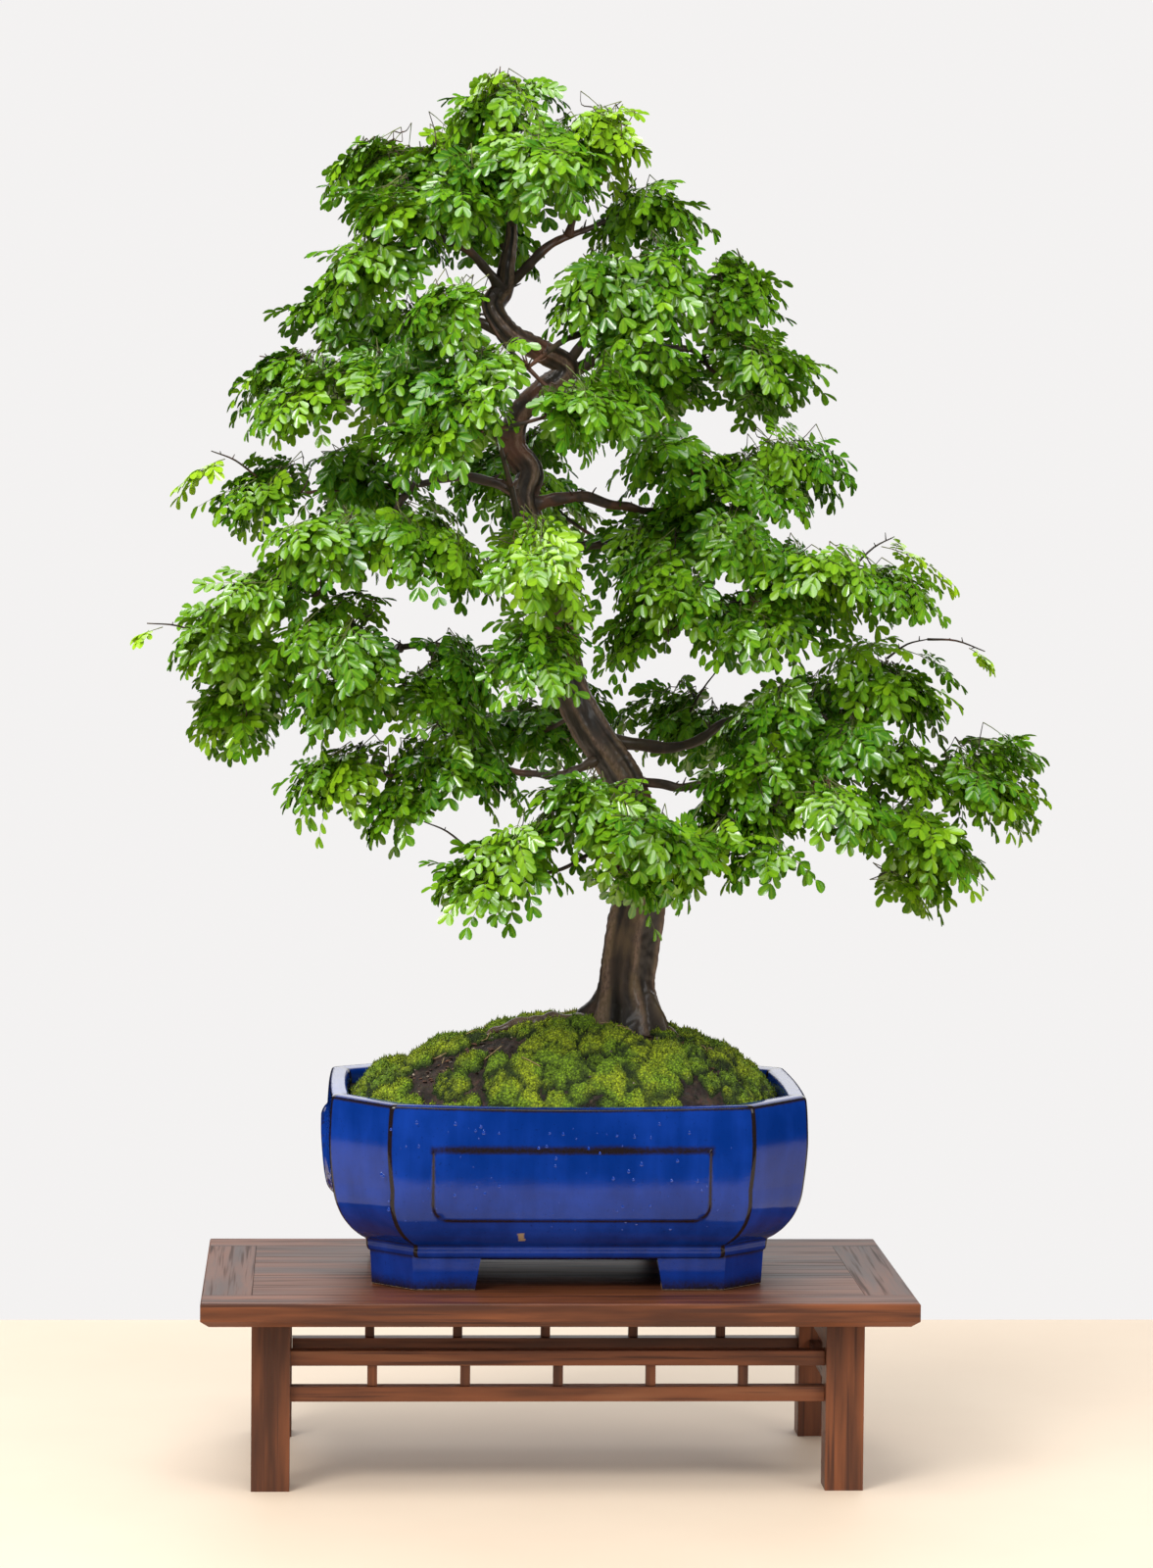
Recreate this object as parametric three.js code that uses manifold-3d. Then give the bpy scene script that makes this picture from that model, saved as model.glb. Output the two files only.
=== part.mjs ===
// Brazilian rain tree bonsai in a blue glazed pot on a walnut stand.
// Millimetres, +Z up, the front faces -Y. The origin is the middle of the bounding box's underside.
import * as THREE from "three";
import { mergeVertices } from "three/addons/utils/BufferGeometryUtils.js";
import Module from "manifold-3d";

// Driving dimensions of the stand
const TOP_WIDTH = 600;
const TOP_DEPTH = 340;
const TOP_THICKNESS = 20.5;
const STAND_HEIGHT = 166;
const CHAMFER_IN = 7;
const CHAMFER_UP = 5.5;
const EDGE_ROUND = 1;
const FRAME_WIDTH = 42;
const CENTRE_BOARDS = 3;
const LEG = 32.3;
const LEG_INSET_X = 42;
const LEG_INSET_Y = 40;
const RAIL_HEIGHT = 12.5;
const RAIL_DEPTH = 14;
const LOW_RAIL_Z = 74.5;
const HIGH_RAIL_Z = 105;
const SPINDLE = 8.2;
const SPINDLES_A_SIDE = 5;
const SPINDLE_SPACING = 78.3;
const GAP = 0.3;

// Driving dimensions of the pot
const POT_X = 9;
const POT_Y = 8;
const FOOT_HEIGHT = 29;
const FOOT_HALF_X = 166;
const FOOT_HALF_Y = 114;
const FOOT_SPREAD = 1.5;
const FOOT_INNER_X = 77;
const FOOT_INNER_Y = 62;
const FOOT_SLOPE = 5;
const FOOT_THICK = 36;
const FOOT_CORE_CORNER = 12;
const RIM_HEIGHT = 160;
const RIM_RISE = 4;
const RIM_WALL = 15;
const CORNER = 50;
const LOW_CORNER_SHARE = 0.7;
const FULL_CORNER_HEIGHT = 90;
const HOLLOW_CORNER_SHARE = 0.88;
const FRONT_BOW = 4;
const BOW_START = 40;
const BOW_END = 90;
// The pot's outer wall: height above the stand, half width, half depth
const BELLY = [
  [26, 166, 114],
  [30, 169.5, 117.5],
  [38, 171, 119],
  [41, 175, 123],
  [50, 184.5, 132.5],
  [66, 194.5, 142.5],
  [84, 199.5, 147.5],
  [108, 202, 150],
  [130, 203, 151],
  [150, 202, 150.2],
  [RIM_HEIGHT, 200.5, 148.7],
];
const WIDEST = 203;
const POT_FLOOR = 46;
const INNER_FLOOR_SHRINK = 34;
const PANEL_WIDTH = 232;
const PANEL_LOW = 64;
const PANEL_HIGH = 125;
const PANEL_PROUD = 2.2;
const PANEL_EASE = 12;
const PANEL_ROOT = 110;
const PANEL_DEPTH = 60;
const MEDALLION_ROOT = 26;
const MEDALLION_RADIUS_Y = 46;
const MEDALLION_RADIUS_Z = 38;
const MEDALLION_Z = 103;
const MEDALLION_PROUD = 5;
const DRAIN_RADIUS = 11;
const DRAIN_SPACING = 170;

// Driving dimensions of the soil and the moss
const MOUND_RISE = 62;
const MOUND_EDGE = 151;
const MOUND_SQUARENESS = 2.6;
const MOUND_LEFT_SQUARENESS = 1.5;
const MOUND_FULLNESS = 0.8;
const MOUND_STEPS_X = 8;
const MOUND_STEPS_Y = 6;
const SOIL_SHARES = [0.8, 0.5, 0.2];
const MOSS_SHARES = [1, 0.93, 0.84, 0.72, 0.6, 0.48, 0.35, 0.2];
const MOUND_INSET = 0.5;
const MOSS_THICKNESS = 6;
const CUSHIONS = 34;
const CUSHION_HEIGHT = 6;
const CUSHION_LEAST = 20;
const CUSHION_SPREAD = 16;
const CUSHION_REACH_X = 175;
const CUSHION_REACH_Y = 125;

// The foot of the trunk: height about the soil line, radius, depth of its lobes
const ROOT_LEVELS = [
  [-34, 38, 0.2],
  [-6, 38, 0.2],
  [2, 34, 0.2],
  [14, 29, 0.13],
  [34, 25, 0.07],
  [60, 21, 0.03],
];
const ROOT_SIDES = 15;
const ROOT_CLEARANCE = 0.4;

// The trunk's centre line with its radius, in the stand's frame: x, y, z, radius
const TRUNK = [
  [65, 8, 366, 25],
  [65, 8, 384, 25],
  [67, 8, 418, 23],
  [73, 7, 455, 24],
  [79, 4, 495, 22],
  [77, 2, 520, 20],
  [70, 3, 554, 18],
  [61, 6, 588, 16.5],
  [46, 10, 613, 16],
  [27, 14, 641, 15.5],
  [10, 14, 677, 14.5],
  [5, 10, 723, 13.5],
  [-4, 4, 765, 12.5],
  [-24, 2, 811, 12],
  [-30, 4, 835, 11.5],
  [-25, 8, 857, 11],
  [-39, 12, 878, 10.5],
  [-35, 12, 905, 10.5],
  [-15, 8, 926, 10],
  [6, 4, 945, 10],
  [-15, 2, 959, 9.5],
  [-42, 5, 974, 9],
  [-58, 10, 998, 8.5],
  [-48, 12, 1016, 8],
  [-46, 10, 1032, 7],
  [-42, 8, 1062, 5],
  [-46, 6, 1090, 3.8],
  [-43, 5, 1118, 2.6],
];

// The limbs: the share of the trunk's length where each leaves it, its thickness there, and its bends
const LIMBS = {
  low_right: { from: 0.335, radius: 8.5, bends: [[104, 18, 620], [150, 26, 640], [196, 36, 655]] },
  low_right_front: { from: 0.285, radius: 7, bends: [[104, -20, 588], [160, -40, 588], [214, -42, 590]] },
  low_left: { from: 0.315, radius: 7, bends: [[0, -10, 597], [-55, -24, 602]] },
  low_front: { from: 0.235, radius: 6, bends: [[62, -40, 560], [34, -84, 545]] },
  low_back: { from: 0.365, radius: 7, bends: [[24, 62, 640], [30, 116, 645]] },
  left_arm: { from: 0.435, radius: 8, bends: [[-40, 4, 688], [-85, 0, 700], [-130, -6, 706]] },
  mid_right: { from: 0.585, radius: 8, bends: [[24, 8, 836], [72, 10, 822], [118, 22, 826]] },
  mid_right_low: { from: 0.53, radius: 7, bends: [[44, 12, 794], [90, 4, 782]] },
  mid_left: { from: 0.595, radius: 7, bends: [[-66, 14, 850], [-120, 30, 846]] },
  mid_front: { from: 0.55, radius: 6, bends: [[-30, -44, 812], [-34, -96, 800]] },
  mid_back: { from: 0.62, radius: 7, bends: [[-30, 66, 860], [-36, 116, 862]] },
  upper_right: { from: 0.73, radius: 6, bends: [[40, 10, 955], [84, 18, 962], [112, 26, 962]] },
  upper_right_high: { from: 0.735, radius: 5.5, bends: [[22, -4, 972], [40, -18, 1000]] },
  upper_left: { from: 0.8, radius: 6, bends: [[-88, 14, 990], [-124, 24, 984]] },
  upper_left_low: { from: 0.66, radius: 5.5, bends: [[-76, -8, 896], [-128, -26, 900]] },
  crown_left: { from: 0.875, radius: 5, bends: [[-78, -4, 1044], [-106, -14, 1050]] },
  crown_right: { from: 0.865, radius: 5, bends: [[-8, 14, 1052], [24, 24, 1066]] },
  crown_back: { from: 0.845, radius: 4.5, bends: [[-40, 52, 1022]] },
};

// The sprays of leaves: the limb that carries each and where, the middle of its pad, the pad's width, depth
// and height, and the point that its longest leaf reaches out to
const SPRAYS = [
  {
    name: "apex", limb: "trunk", from: 1, leaves: 6,
    centre: [-43, 5, 1150], size: [140, 120, 100], tip: [-52, 4, 1203],
  },
  {
    name: "apex_right", limb: "crown_right", from: 0.62, leaves: 4, fresh: true,
    centre: [48, -6, 1138], size: [100, 84, 96], tip: [98, -8, 1126],
  },
  {
    name: "crown_front", limb: "trunk", from: 0.94, leaves: 4,
    centre: [-14, -74, 1090], size: [130, 112, 104],
  },
  {
    name: "crown_left", limb: "crown_left", from: 0.7, leaves: 4, fresh: true,
    centre: [-148, 26, 1108], size: [130, 112, 96], tip: [-208, 26, 1136],
  },
  {
    name: "crown_left_front", limb: "crown_left", from: 1, leaves: 4,
    centre: [-150, -46, 1046], size: [166, 130, 104],
  },
  {
    name: "crown_right", limb: "crown_right", from: 1, leaves: 4,
    centre: [82, 44, 1074], size: [132, 116, 96],
  },
  {
    name: "crown_back", limb: "crown_back", from: 1, leaves: 4,
    centre: [-36, 116, 1040], size: [160, 130, 104],
  },
  {
    name: "upper_right_front", limb: "upper_right_high", from: 1, leaves: 4,
    centre: [108, -58, 1010], size: [156, 130, 100],
  },
  {
    name: "upper_right", limb: "upper_right", from: 1, leaves: 4,
    centre: [168, 38, 948], size: [168, 140, 110], tip: [244, 36, 930],
  },
  {
    name: "upper_front", limb: "upper_right_high", from: 0.55, leaves: 4,
    centre: [0, -130, 996], size: [150, 122, 100],
  },
  {
    name: "upper_left", limb: "upper_left", from: 1, leaves: 4,
    centre: [-194, 60, 976], size: [150, 130, 94], tip: [-256, 62, 968],
  },
  {
    name: "mid_left_high", limb: "upper_left_low", from: 1, leaves: 4,
    centre: [-214, -46, 902], size: [176, 140, 100], tip: [-302, -46, 922],
  },
  {
    name: "mid_front_high", limb: "mid_front", from: 0.6, leaves: 4,
    centre: [6, -156, 886], size: [156, 124, 104],
  },
  {
    name: "mid_right", limb: "mid_right", from: 1, leaves: 4,
    centre: [186, 10, 856], size: [180, 146, 110], tip: [270, 8, 828],
  },
  {
    name: "mid_left_back", limb: "mid_left", from: 1, leaves: 5,
    centre: [-212, 90, 842], size: [208, 150, 104], tip: [-318, 92, 858],
  },
  {
    name: "mid_left_front", limb: "mid_left", from: 0.6, leaves: 5,
    centre: [-180, -96, 790], size: [206, 150, 116],
  },
  {
    name: "mid_back", limb: "mid_back", from: 1, leaves: 5,
    centre: [-30, 200, 862], size: [210, 140, 112],
  },
  {
    name: "left_outer", limb: "left_arm", from: 1, leaves: 5,
    centre: [-276, 0, 682], size: [204, 170, 150], tip: [-377, 0, 704],
  },
  {
    name: "left_inner", limb: "left_arm", from: 0.55, leaves: 4,
    centre: [-140, -76, 668], size: [170, 150, 130],
  },
  {
    name: "mid_front", limb: "mid_front", from: 1, leaves: 4,
    centre: [-26, -172, 748], size: [130, 112, 160],
  },
  {
    name: "right_high", limb: "mid_right_low", from: 1, leaves: 5,
    centre: [214, -50, 750], size: [216, 150, 136], tip: [322, -52, 738],
  },
  {
    name: "right_back", limb: "low_right", from: 0.6, leaves: 5,
    centre: [216, 116, 668], size: [220, 156, 116],
  },
  {
    name: "right_outer", limb: "low_right", from: 1, leaves: 5,
    centre: [340, 12, 582], size: [200, 170, 150], tip: [436, 8, 584],
  },
  {
    name: "right_front", limb: "low_right_front", from: 1, leaves: 5,
    centre: [216, -90, 544], size: [216, 156, 136], tip: [300, -92, 500],
  },
  {
    name: "low_left", limb: "low_left", from: 1, leaves: 5,
    centre: [-132, -36, 582], size: [226, 156, 130], tip: [-244, -36, 556],
  },
  {
    name: "low_front", limb: "low_front", from: 1, leaves: 5,
    centre: [0, -150, 526], size: [226, 140, 136], tip: [-34, -160, 466],
  },
  {
    name: "low_back", limb: "low_back", from: 1, leaves: 5,
    centre: [36, 204, 646], size: [226, 140, 120],
  },
];

// Driving dimensions of the wood
const TRUNK_SIDES = 8;
const TRUNK_STEPS = 27;
const LIMB_SIDES = 5;
const TWIG_SIDES = 4;
const TWIG_STEPS = 3;
const TWIG_RADIUS = 2.3;
const TWIG_ARCH = 4;
const LAST_ON_TRUNK = 0.985;
const HUB_BACK_SHARE = 0.3;
const HUB_DROP_SHARE = 0.12;
const SHOOT_LENGTH = 14;
const SHOOT_FOOT = 3.6;
const SHOOT_TIP = 2.4;
const LEAVES_AT = 9;

// Driving dimensions of the leaves
const LEAF_THICKNESS = 0.8;
const LEAF_CLEARANCE = 0.35;
const LEAF_TRIES = 140;
const LEAF_SHRINK = 0.4;
const LEAF_SPAN_LEAST = 80;
const LEAF_SPAN_MOST = 156;
const BLADE_SHARE = 0.84;
const BLADE_WIDTH = 0.92;
const BLADE_FOLD = 0.3;
const LEAF_DROOP = 0.3;
const LEAF_RAISE = 0.21;
const LEAF_ROLL_LEAST = 0.5;
const LEAF_ROLL_SPREAD = 0.6;
const LEAF_TURN_SPREAD = 0.9;
const LEAF_LIFT_SPREAD = 0.3;
const LEAF_LIFTS = [0.8, -0.45, 0.2, -0.95, 0.5, -0.1];
const PETIOLE_WIDTH = 3;
const PAIRS = 3;
const MOST_EXTRA_TRIANGLES = 30;

function skin(name, color, roughness) {
  return new THREE.MeshStandardMaterial({ name, color, roughness, metalness: 0 });
}
const SKIN = {
  walnut: skin("walnut", 0x6b3e2a, 0.45),
  glaze: skin("blue_glaze", 0x0b2f9e, 0.12),
  soil: skin("soil", 0x2a1d14, 0.95),
  moss: skin("moss", 0x5f7a14, 0.95),
  bark: skin("bark", 0x5d4a3a, 0.85),
  leaf: skin("leaf", 0x3f7d1c, 0.4),
  freshLeaf: skin("fresh_leaf", 0x86b52a, 0.4),
};

const wasm = await Module();
wasm.setup();

// A closed geometry as a solid that can be joined and cut.
function solidOf(geometry) {
  const bare = geometry.clone();
  bare.deleteAttribute("normal");
  bare.deleteAttribute("uv");
  const merged = mergeVertices(bare, 1e-4);
  const vertProperties = merged.attributes.position.array;
  const triVerts = new Uint32Array(merged.index.array);
  return new wasm.Manifold(new wasm.Mesh({ numProp: 3, vertProperties, triVerts }));
}

// A solid's surface as a geometry.
function geometryOf(solid) {
  const mesh = solid.getMesh();
  const geometry = new THREE.BufferGeometry();
  geometry.setAttribute("position", new THREE.BufferAttribute(new Float32Array(mesh.vertProperties), 3));
  geometry.setIndex(new THREE.BufferAttribute(new Uint32Array(mesh.triVerts), 1));
  geometry.computeVertexNormals();
  return geometry;
}

// A box from its two opposite corners.
function block(low, high) {
  const size = high.map((value, axis) => value - low[axis]);
  const middle = high.map((value, axis) => (value + low[axis]) / 2);
  return new THREE.BoxGeometry(...size).translate(...middle);
}

// A closed skin over rings of points that all have the same count, lowest ring first, counter-clockwise
// from above. A flat fan around each end ring's middle closes it. The quads of the first `crossed`
// levels are split along their other diagonal.
function loft(rings, crossed = 0) {
  const count = rings[0].length;
  const positions = rings.flat(2);
  const index = [];
  for (let level = 0; level + 1 < rings.length; level++) {
    for (let i = 0; i < count; i++) {
      const a = level * count + i;
      const b = level * count + ((i + 1) % count);
      if (level < crossed) index.push(a, b, a + count, b, b + count, a + count);
      else index.push(a, b, b + count, a, b + count, a + count);
    }
  }
  const ends = [rings[0], rings[rings.length - 1]];
  ends.forEach((ring, end) => {
    const middle = [0, 1, 2].map((axis) => ring.reduce((sum, point) => sum + point[axis], 0) / count);
    const centre = positions.length / 3;
    positions.push(...middle);
    const first = end === 0 ? 0 : (rings.length - 1) * count;
    for (let i = 0; i < count; i++) {
      const a = first + i;
      const b = first + ((i + 1) % count);
      if (end === 0) index.push(centre, b, a);
      else index.push(centre, a, b);
    }
  });
  const geometry = new THREE.BufferGeometry();
  geometry.setAttribute("position", new THREE.Float32BufferAttribute(positions, 3));
  geometry.setIndex(index);
  return geometry;
}

// Repeatable random numbers between 0 and 1.
function seeded(seed) {
  let state = seed;
  return () => {
    state = (state * 1664525 + 1013904223) % 4294967296;
    return state / 4294967296;
  };
}

const bonsai = new THREE.Group();
const solids = new Map();

// Adds one piece to the model under its own name.
function place(name, geometry, material) {
  const solid = solidOf(geometry);
  solids.set(name, solid);
  const mesh = new THREE.Mesh(geometry, material.clone());
  mesh.name = name;
  bonsai.add(mesh);
}

// The stand's top as one slab: chamfered under its edge and eased above it.
function topBlank() {
  const under = STAND_HEIGHT - TOP_THICKNESS;
  const ring = (inset, z) => {
    const x = TOP_WIDTH / 2 - inset;
    const y = TOP_DEPTH / 2 - inset;
    return [[-x, -y, z], [x, -y, z], [x, y, z], [-x, y, z]];
  };
  return solidOf(loft([
    ring(CHAMFER_IN, under),
    ring(0, under + CHAMFER_UP),
    ring(0, STAND_HEIGHT - EDGE_ROUND),
    ring(EDGE_ROUND, STAND_HEIGHT),
  ]));
}

// The top is a frame of two long strips and two end strips around a panel of boards.
function buildTop() {
  const blank = topBlank();
  const x = TOP_WIDTH / 2;
  const y = TOP_DEPTH / 2;
  const cut = (name, x0, x1, y0, y1) => {
    const region = solidOf(block([x0, y0, 0], [x1, y1, STAND_HEIGHT + 10]));
    place(name, geometryOf(blank.intersect(region)), SKIN.walnut);
  };
  const innerX = x - FRAME_WIDTH;
  const innerY = y - FRAME_WIDTH;
  cut("top_front_strip", -x - 1, x + 1, -y - 1, -innerY);
  cut("top_back_strip", -x - 1, x + 1, innerY, y + 1);
  cut("top_left_end", -x - 1, -innerX, -innerY + GAP, innerY - GAP);
  cut("top_right_end", innerX, x + 1, -innerY + GAP, innerY - GAP);
  const boardDepth = (2 * innerY - GAP * (CENTRE_BOARDS + 1)) / CENTRE_BOARDS;
  for (let i = 0; i < CENTRE_BOARDS; i++) {
    const start = -innerY + GAP + i * (boardDepth + GAP);
    cut("top_board_" + (i + 1), -innerX + GAP, innerX - GAP, start, start + boardDepth);
  }
}

// Four square legs, two rails between each pair, and short spindles between the long rails.
function buildLegsAndRails() {
  const legTop = STAND_HEIGHT - TOP_THICKNESS - GAP;
  const outerX = TOP_WIDTH / 2 - LEG_INSET_X;
  const outerY = TOP_DEPTH / 2 - LEG_INSET_Y;
  const innerX = outerX - LEG;
  const innerY = outerY - LEG;
  const railX = outerX - LEG / 2;
  const railY = outerY - LEG / 2;
  const sides = [["front", -1], ["back", 1]];
  const ends = [["left", -1], ["right", 1]];
  const rails = [["low", LOW_RAIL_Z], ["high", HIGH_RAIL_Z]];
  for (const [side, signY] of sides) {
    for (const [end, signX] of ends) {
      const xs = [signX * innerX, signX * outerX].sort((a, b) => a - b);
      const ys = [signY * innerY, signY * outerY].sort((a, b) => a - b);
      place("leg_" + side + "_" + end, block([xs[0], ys[0], 0], [xs[1], ys[1], legTop]), SKIN.walnut);
    }
    const middleY = signY * railY;
    for (const [level, z] of rails) {
      const low = [-innerX + GAP, middleY - RAIL_DEPTH / 2, z];
      const high = [innerX - GAP, middleY + RAIL_DEPTH / 2, z + RAIL_HEIGHT];
      place("rail_" + side + "_" + level, block(low, high), SKIN.walnut);
    }
    for (let i = 0; i < SPINDLES_A_SIDE; i++) {
      const x = (i - (SPINDLES_A_SIDE - 1) / 2) * SPINDLE_SPACING;
      const low = [x - SPINDLE / 2, middleY - SPINDLE / 2, LOW_RAIL_Z + RAIL_HEIGHT + GAP];
      const high = [x + SPINDLE / 2, middleY + SPINDLE / 2, HIGH_RAIL_Z - GAP];
      place("spindle_" + side + "_" + (i + 1), block(low, high), SKIN.walnut);
    }
  }
  for (const [end, signX] of ends) {
    const middleX = signX * railX;
    for (const [level, z] of rails) {
      const low = [middleX - RAIL_DEPTH / 2, -innerY + GAP, z];
      const high = [middleX + RAIL_DEPTH / 2, innerY - GAP, z + RAIL_HEIGHT];
      place("rail_" + end + "_" + level, block(low, high), SKIN.walnut);
    }
  }
}

// One outline of the pot at a height: a rectangle with cut corners whose long sides bow out a little.
// Each side is divided into the same number of steps at every height.
function outline(halfX, halfY, corner, bow, z, stepsX, stepsY, rise = 0) {
  const points = [];
  const run = (x0, y0, x1, y1, steps, bowX, bowY) => {
    for (let i = 0; i < steps; i++) {
      const t = i / steps;
      const swell = 4 * t * (1 - t);
      const x = x0 + (x1 - x0) * t + bowX * swell;
      const y = y0 + (y1 - y0) * t + bowY * swell;
      points.push([POT_X + x, POT_Y + y, z + rise * (x / halfX) ** 2]);
    }
  };
  const cx = halfX - corner;
  const cy = halfY - corner;
  run(-cx, -halfY, cx, -halfY, stepsX, 0, -bow);
  run(cx, -halfY, halfX, -cy, 1, 0, 0);
  run(halfX, -cy, halfX, cy, stepsY, bow / 2, 0);
  run(halfX, cy, cx, halfY, 1, 0, 0);
  run(cx, halfY, -cx, halfY, stepsX, 0, bow);
  run(-cx, halfY, -halfX, cy, 1, 0, 0);
  run(-halfX, cy, -halfX, -cy, stepsY, -bow / 2, 0);
  run(-halfX, -cy, -cx, -halfY, 1, 0, 0);
  return points;
}

// The hollow's half width, half depth and corner at a height, straight from the floor to the rim.
function hollowAt(height) {
  const share = (height - POT_FLOOR) / (RIM_HEIGHT - POT_FLOOR);
  const shrink = INNER_FLOOR_SHRINK * (1 - share);
  const halfX = BELLY[BELLY.length - 1][1] - RIM_WALL - shrink;
  const halfY = BELLY[BELLY.length - 1][2] - RIM_WALL - shrink;
  return [halfX, halfY, CORNER * HOLLOW_CORNER_SHARE];
}

function hollowRing(height, inset, stepsX, stepsY) {
  const [halfX, halfY, corner] = hollowAt(height);
  return outline(halfX - inset, halfY - inset, corner, 0, STAND_HEIGHT + height, stepsX, stepsY);
}

// A raised frontal panel: a thick plate whose face follows the belly's bow, with eased lower corners.
function panel(sign) {
  const shape = new THREE.Shape();
  const half = PANEL_WIDTH / 2;
  const ease = PANEL_EASE;
  shape.moveTo(-half, PANEL_HIGH);
  shape.lineTo(-half, PANEL_LOW + ease);
  shape.lineTo(-half + ease, PANEL_LOW);
  shape.lineTo(half - ease, PANEL_LOW);
  shape.lineTo(half, PANEL_LOW + ease);
  shape.lineTo(half, PANEL_HIGH);
  const geometry = new THREE.ExtrudeGeometry(shape, { depth: PANEL_DEPTH, bevelEnabled: false, steps: 1 });
  geometry.rotateX(Math.PI / 2);
  if (sign > 0) geometry.rotateZ(Math.PI);
  geometry.translate(POT_X, POT_Y + sign * PANEL_ROOT, STAND_HEIGHT);
  return solidOf(geometry);
}

// A bracket foot under each corner: the corner's outline, cut back to an L with sloping ends.
function feetSolid() {
  const corner = CORNER * LOW_CORNER_SHARE;
  const topZ = STAND_HEIGHT + FOOT_HEIGHT;
  const full = solidOf(loft([
    outline(FOOT_HALF_X, FOOT_HALF_Y, corner, 0, STAND_HEIGHT + GAP, 1, 1),
    outline(FOOT_HALF_X + FOOT_SPREAD, FOOT_HALF_Y + FOOT_SPREAD, corner, 0, topZ + 2, 1, 1),
  ]));
  const coreX = FOOT_HALF_X - FOOT_THICK;
  const coreY = FOOT_HALF_Y - FOOT_THICK;
  const core = solidOf(loft([
    outline(coreX, coreY, FOOT_CORE_CORNER, 0, STAND_HEIGHT - 5, 1, 1),
    outline(coreX, coreY, FOOT_CORE_CORNER, 0, topZ, 1, 1),
  ]));
  const archX = solidOf(archway(FOOT_INNER_X, 2 * WIDEST, "x"));
  const archY = solidOf(archway(FOOT_INNER_Y, 2 * WIDEST, "y"));
  return full.subtract(core).subtract(archX).subtract(archY);
}

// The space between two feet, wider at the stand than under the pot.
function archway(half, length, axis) {
  const shape = new THREE.Shape();
  shape.moveTo(-half - FOOT_SLOPE / 2, -5);
  shape.lineTo(half + FOOT_SLOPE / 2, -5);
  shape.lineTo(half - FOOT_SLOPE / 2, FOOT_HEIGHT);
  shape.lineTo(-half + FOOT_SLOPE / 2, FOOT_HEIGHT);
  const geometry = new THREE.ExtrudeGeometry(shape, { depth: length, bevelEnabled: false, steps: 1 });
  geometry.translate(0, 0, -length / 2);
  geometry.rotateX(Math.PI / 2);
  if (axis === "y") geometry.rotateZ(Math.PI / 2);
  geometry.translate(POT_X, POT_Y, STAND_HEIGHT);
  return geometry;
}

// A low oval boss on each short side.
function medallion(sign) {
  const dome = new THREE.SphereGeometry(1, 12, 6);
  dome.scale(MEDALLION_ROOT, MEDALLION_RADIUS_Y, MEDALLION_RADIUS_Z);
  const x = POT_X + sign * (WIDEST + MEDALLION_PROUD - MEDALLION_ROOT);
  dome.translate(x, POT_Y, STAND_HEIGHT + MEDALLION_Z);
  return solidOf(dome);
}

function buildPot() {
  const rings = BELLY.map(([height, halfX, halfY], level) => {
    const grown = Math.min(1, height / FULL_CORNER_HEIGHT);
    const corner = CORNER * (LOW_CORNER_SHARE + (1 - LOW_CORNER_SHARE) * grown);
    const bow = FRONT_BOW * Math.min(1, Math.max(0, (height - BOW_START) / (BOW_END - BOW_START)));
    const rise = level === BELLY.length - 1 ? RIM_RISE : 0;
    return outline(halfX, halfY, corner, bow, STAND_HEIGHT + height, 4, 3, rise);
  });
  let pot = solidOf(loft(rings));
  const slab = panelSlab(rings);
  pot = pot.add(panel(-1).intersect(slab)).add(panel(1).intersect(slab));
  pot = pot.add(medallion(-1)).add(medallion(1)).add(feetSolid());
  const hollow = solidOf(loft([hollowRing(POT_FLOOR, 0, 1, 1), hollowRing(RIM_HEIGHT + 20, 0, 1, 1)]));
  pot = pot.subtract(hollow);
  for (const sign of [-1, 1]) {
    const drain = new THREE.CylinderGeometry(DRAIN_RADIUS, DRAIN_RADIUS, 60, 16);
    drain.rotateX(Math.PI / 2);
    drain.translate(POT_X + (sign * DRAIN_SPACING) / 2, POT_Y, STAND_HEIGHT + 30);
    pot = pot.subtract(solidOf(drain));
  }
  place("pot", geometryOf(pot), SKIN.glaze);
}

// The belly again, a little larger, so that a panel cut from it stands evenly proud.
function panelSlab(rings) {
  const swollen = rings.map((ring) =>
    ring.map(([x, y, z]) => {
      const side = Math.sign(y - POT_Y);
      return [x, y + side * PANEL_PROUD, z];
    }),
  );
  return solidOf(loft(swollen));
}

// The soil's surface: a dome that falls to its edge just inside the rim.
function moundHeight(x, y) {
  const [halfX, halfY] = hollowAt(MOUND_EDGE);
  const squareness = x < POT_X ? MOUND_LEFT_SQUARENESS : MOUND_SQUARENESS;
  const awayX = Math.abs((x - POT_X) / halfX) ** squareness;
  const awayY = Math.abs((y - POT_Y) / halfY) ** MOUND_SQUARENESS;
  const rise = MOUND_RISE * Math.max(0, 1 - awayX - awayY) ** MOUND_FULLNESS;
  return STAND_HEIGHT + MOUND_EDGE + rise;
}

// Moss cushions: low domes at seeded places, the highest one counting at each point.
const cushionDraw = seeded(41);
const cushions = Array.from({ length: CUSHIONS }, () => {
  const angle = cushionDraw() * 2 * Math.PI;
  const reach = Math.sqrt(cushionDraw());
  return {
    x: POT_X + Math.cos(angle) * reach * CUSHION_REACH_X,
    y: POT_Y + Math.sin(angle) * reach * CUSHION_REACH_Y,
    radius: CUSHION_LEAST + CUSHION_SPREAD * cushionDraw(),
  };
});
function cushionHeight(x, y) {
  const rises = cushions.map((c) => 1 - ((x - c.x) ** 2 + (y - c.y) ** 2) / c.radius ** 2);
  return CUSHION_HEIGHT * Math.sqrt(Math.max(0, ...rises));
}

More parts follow.
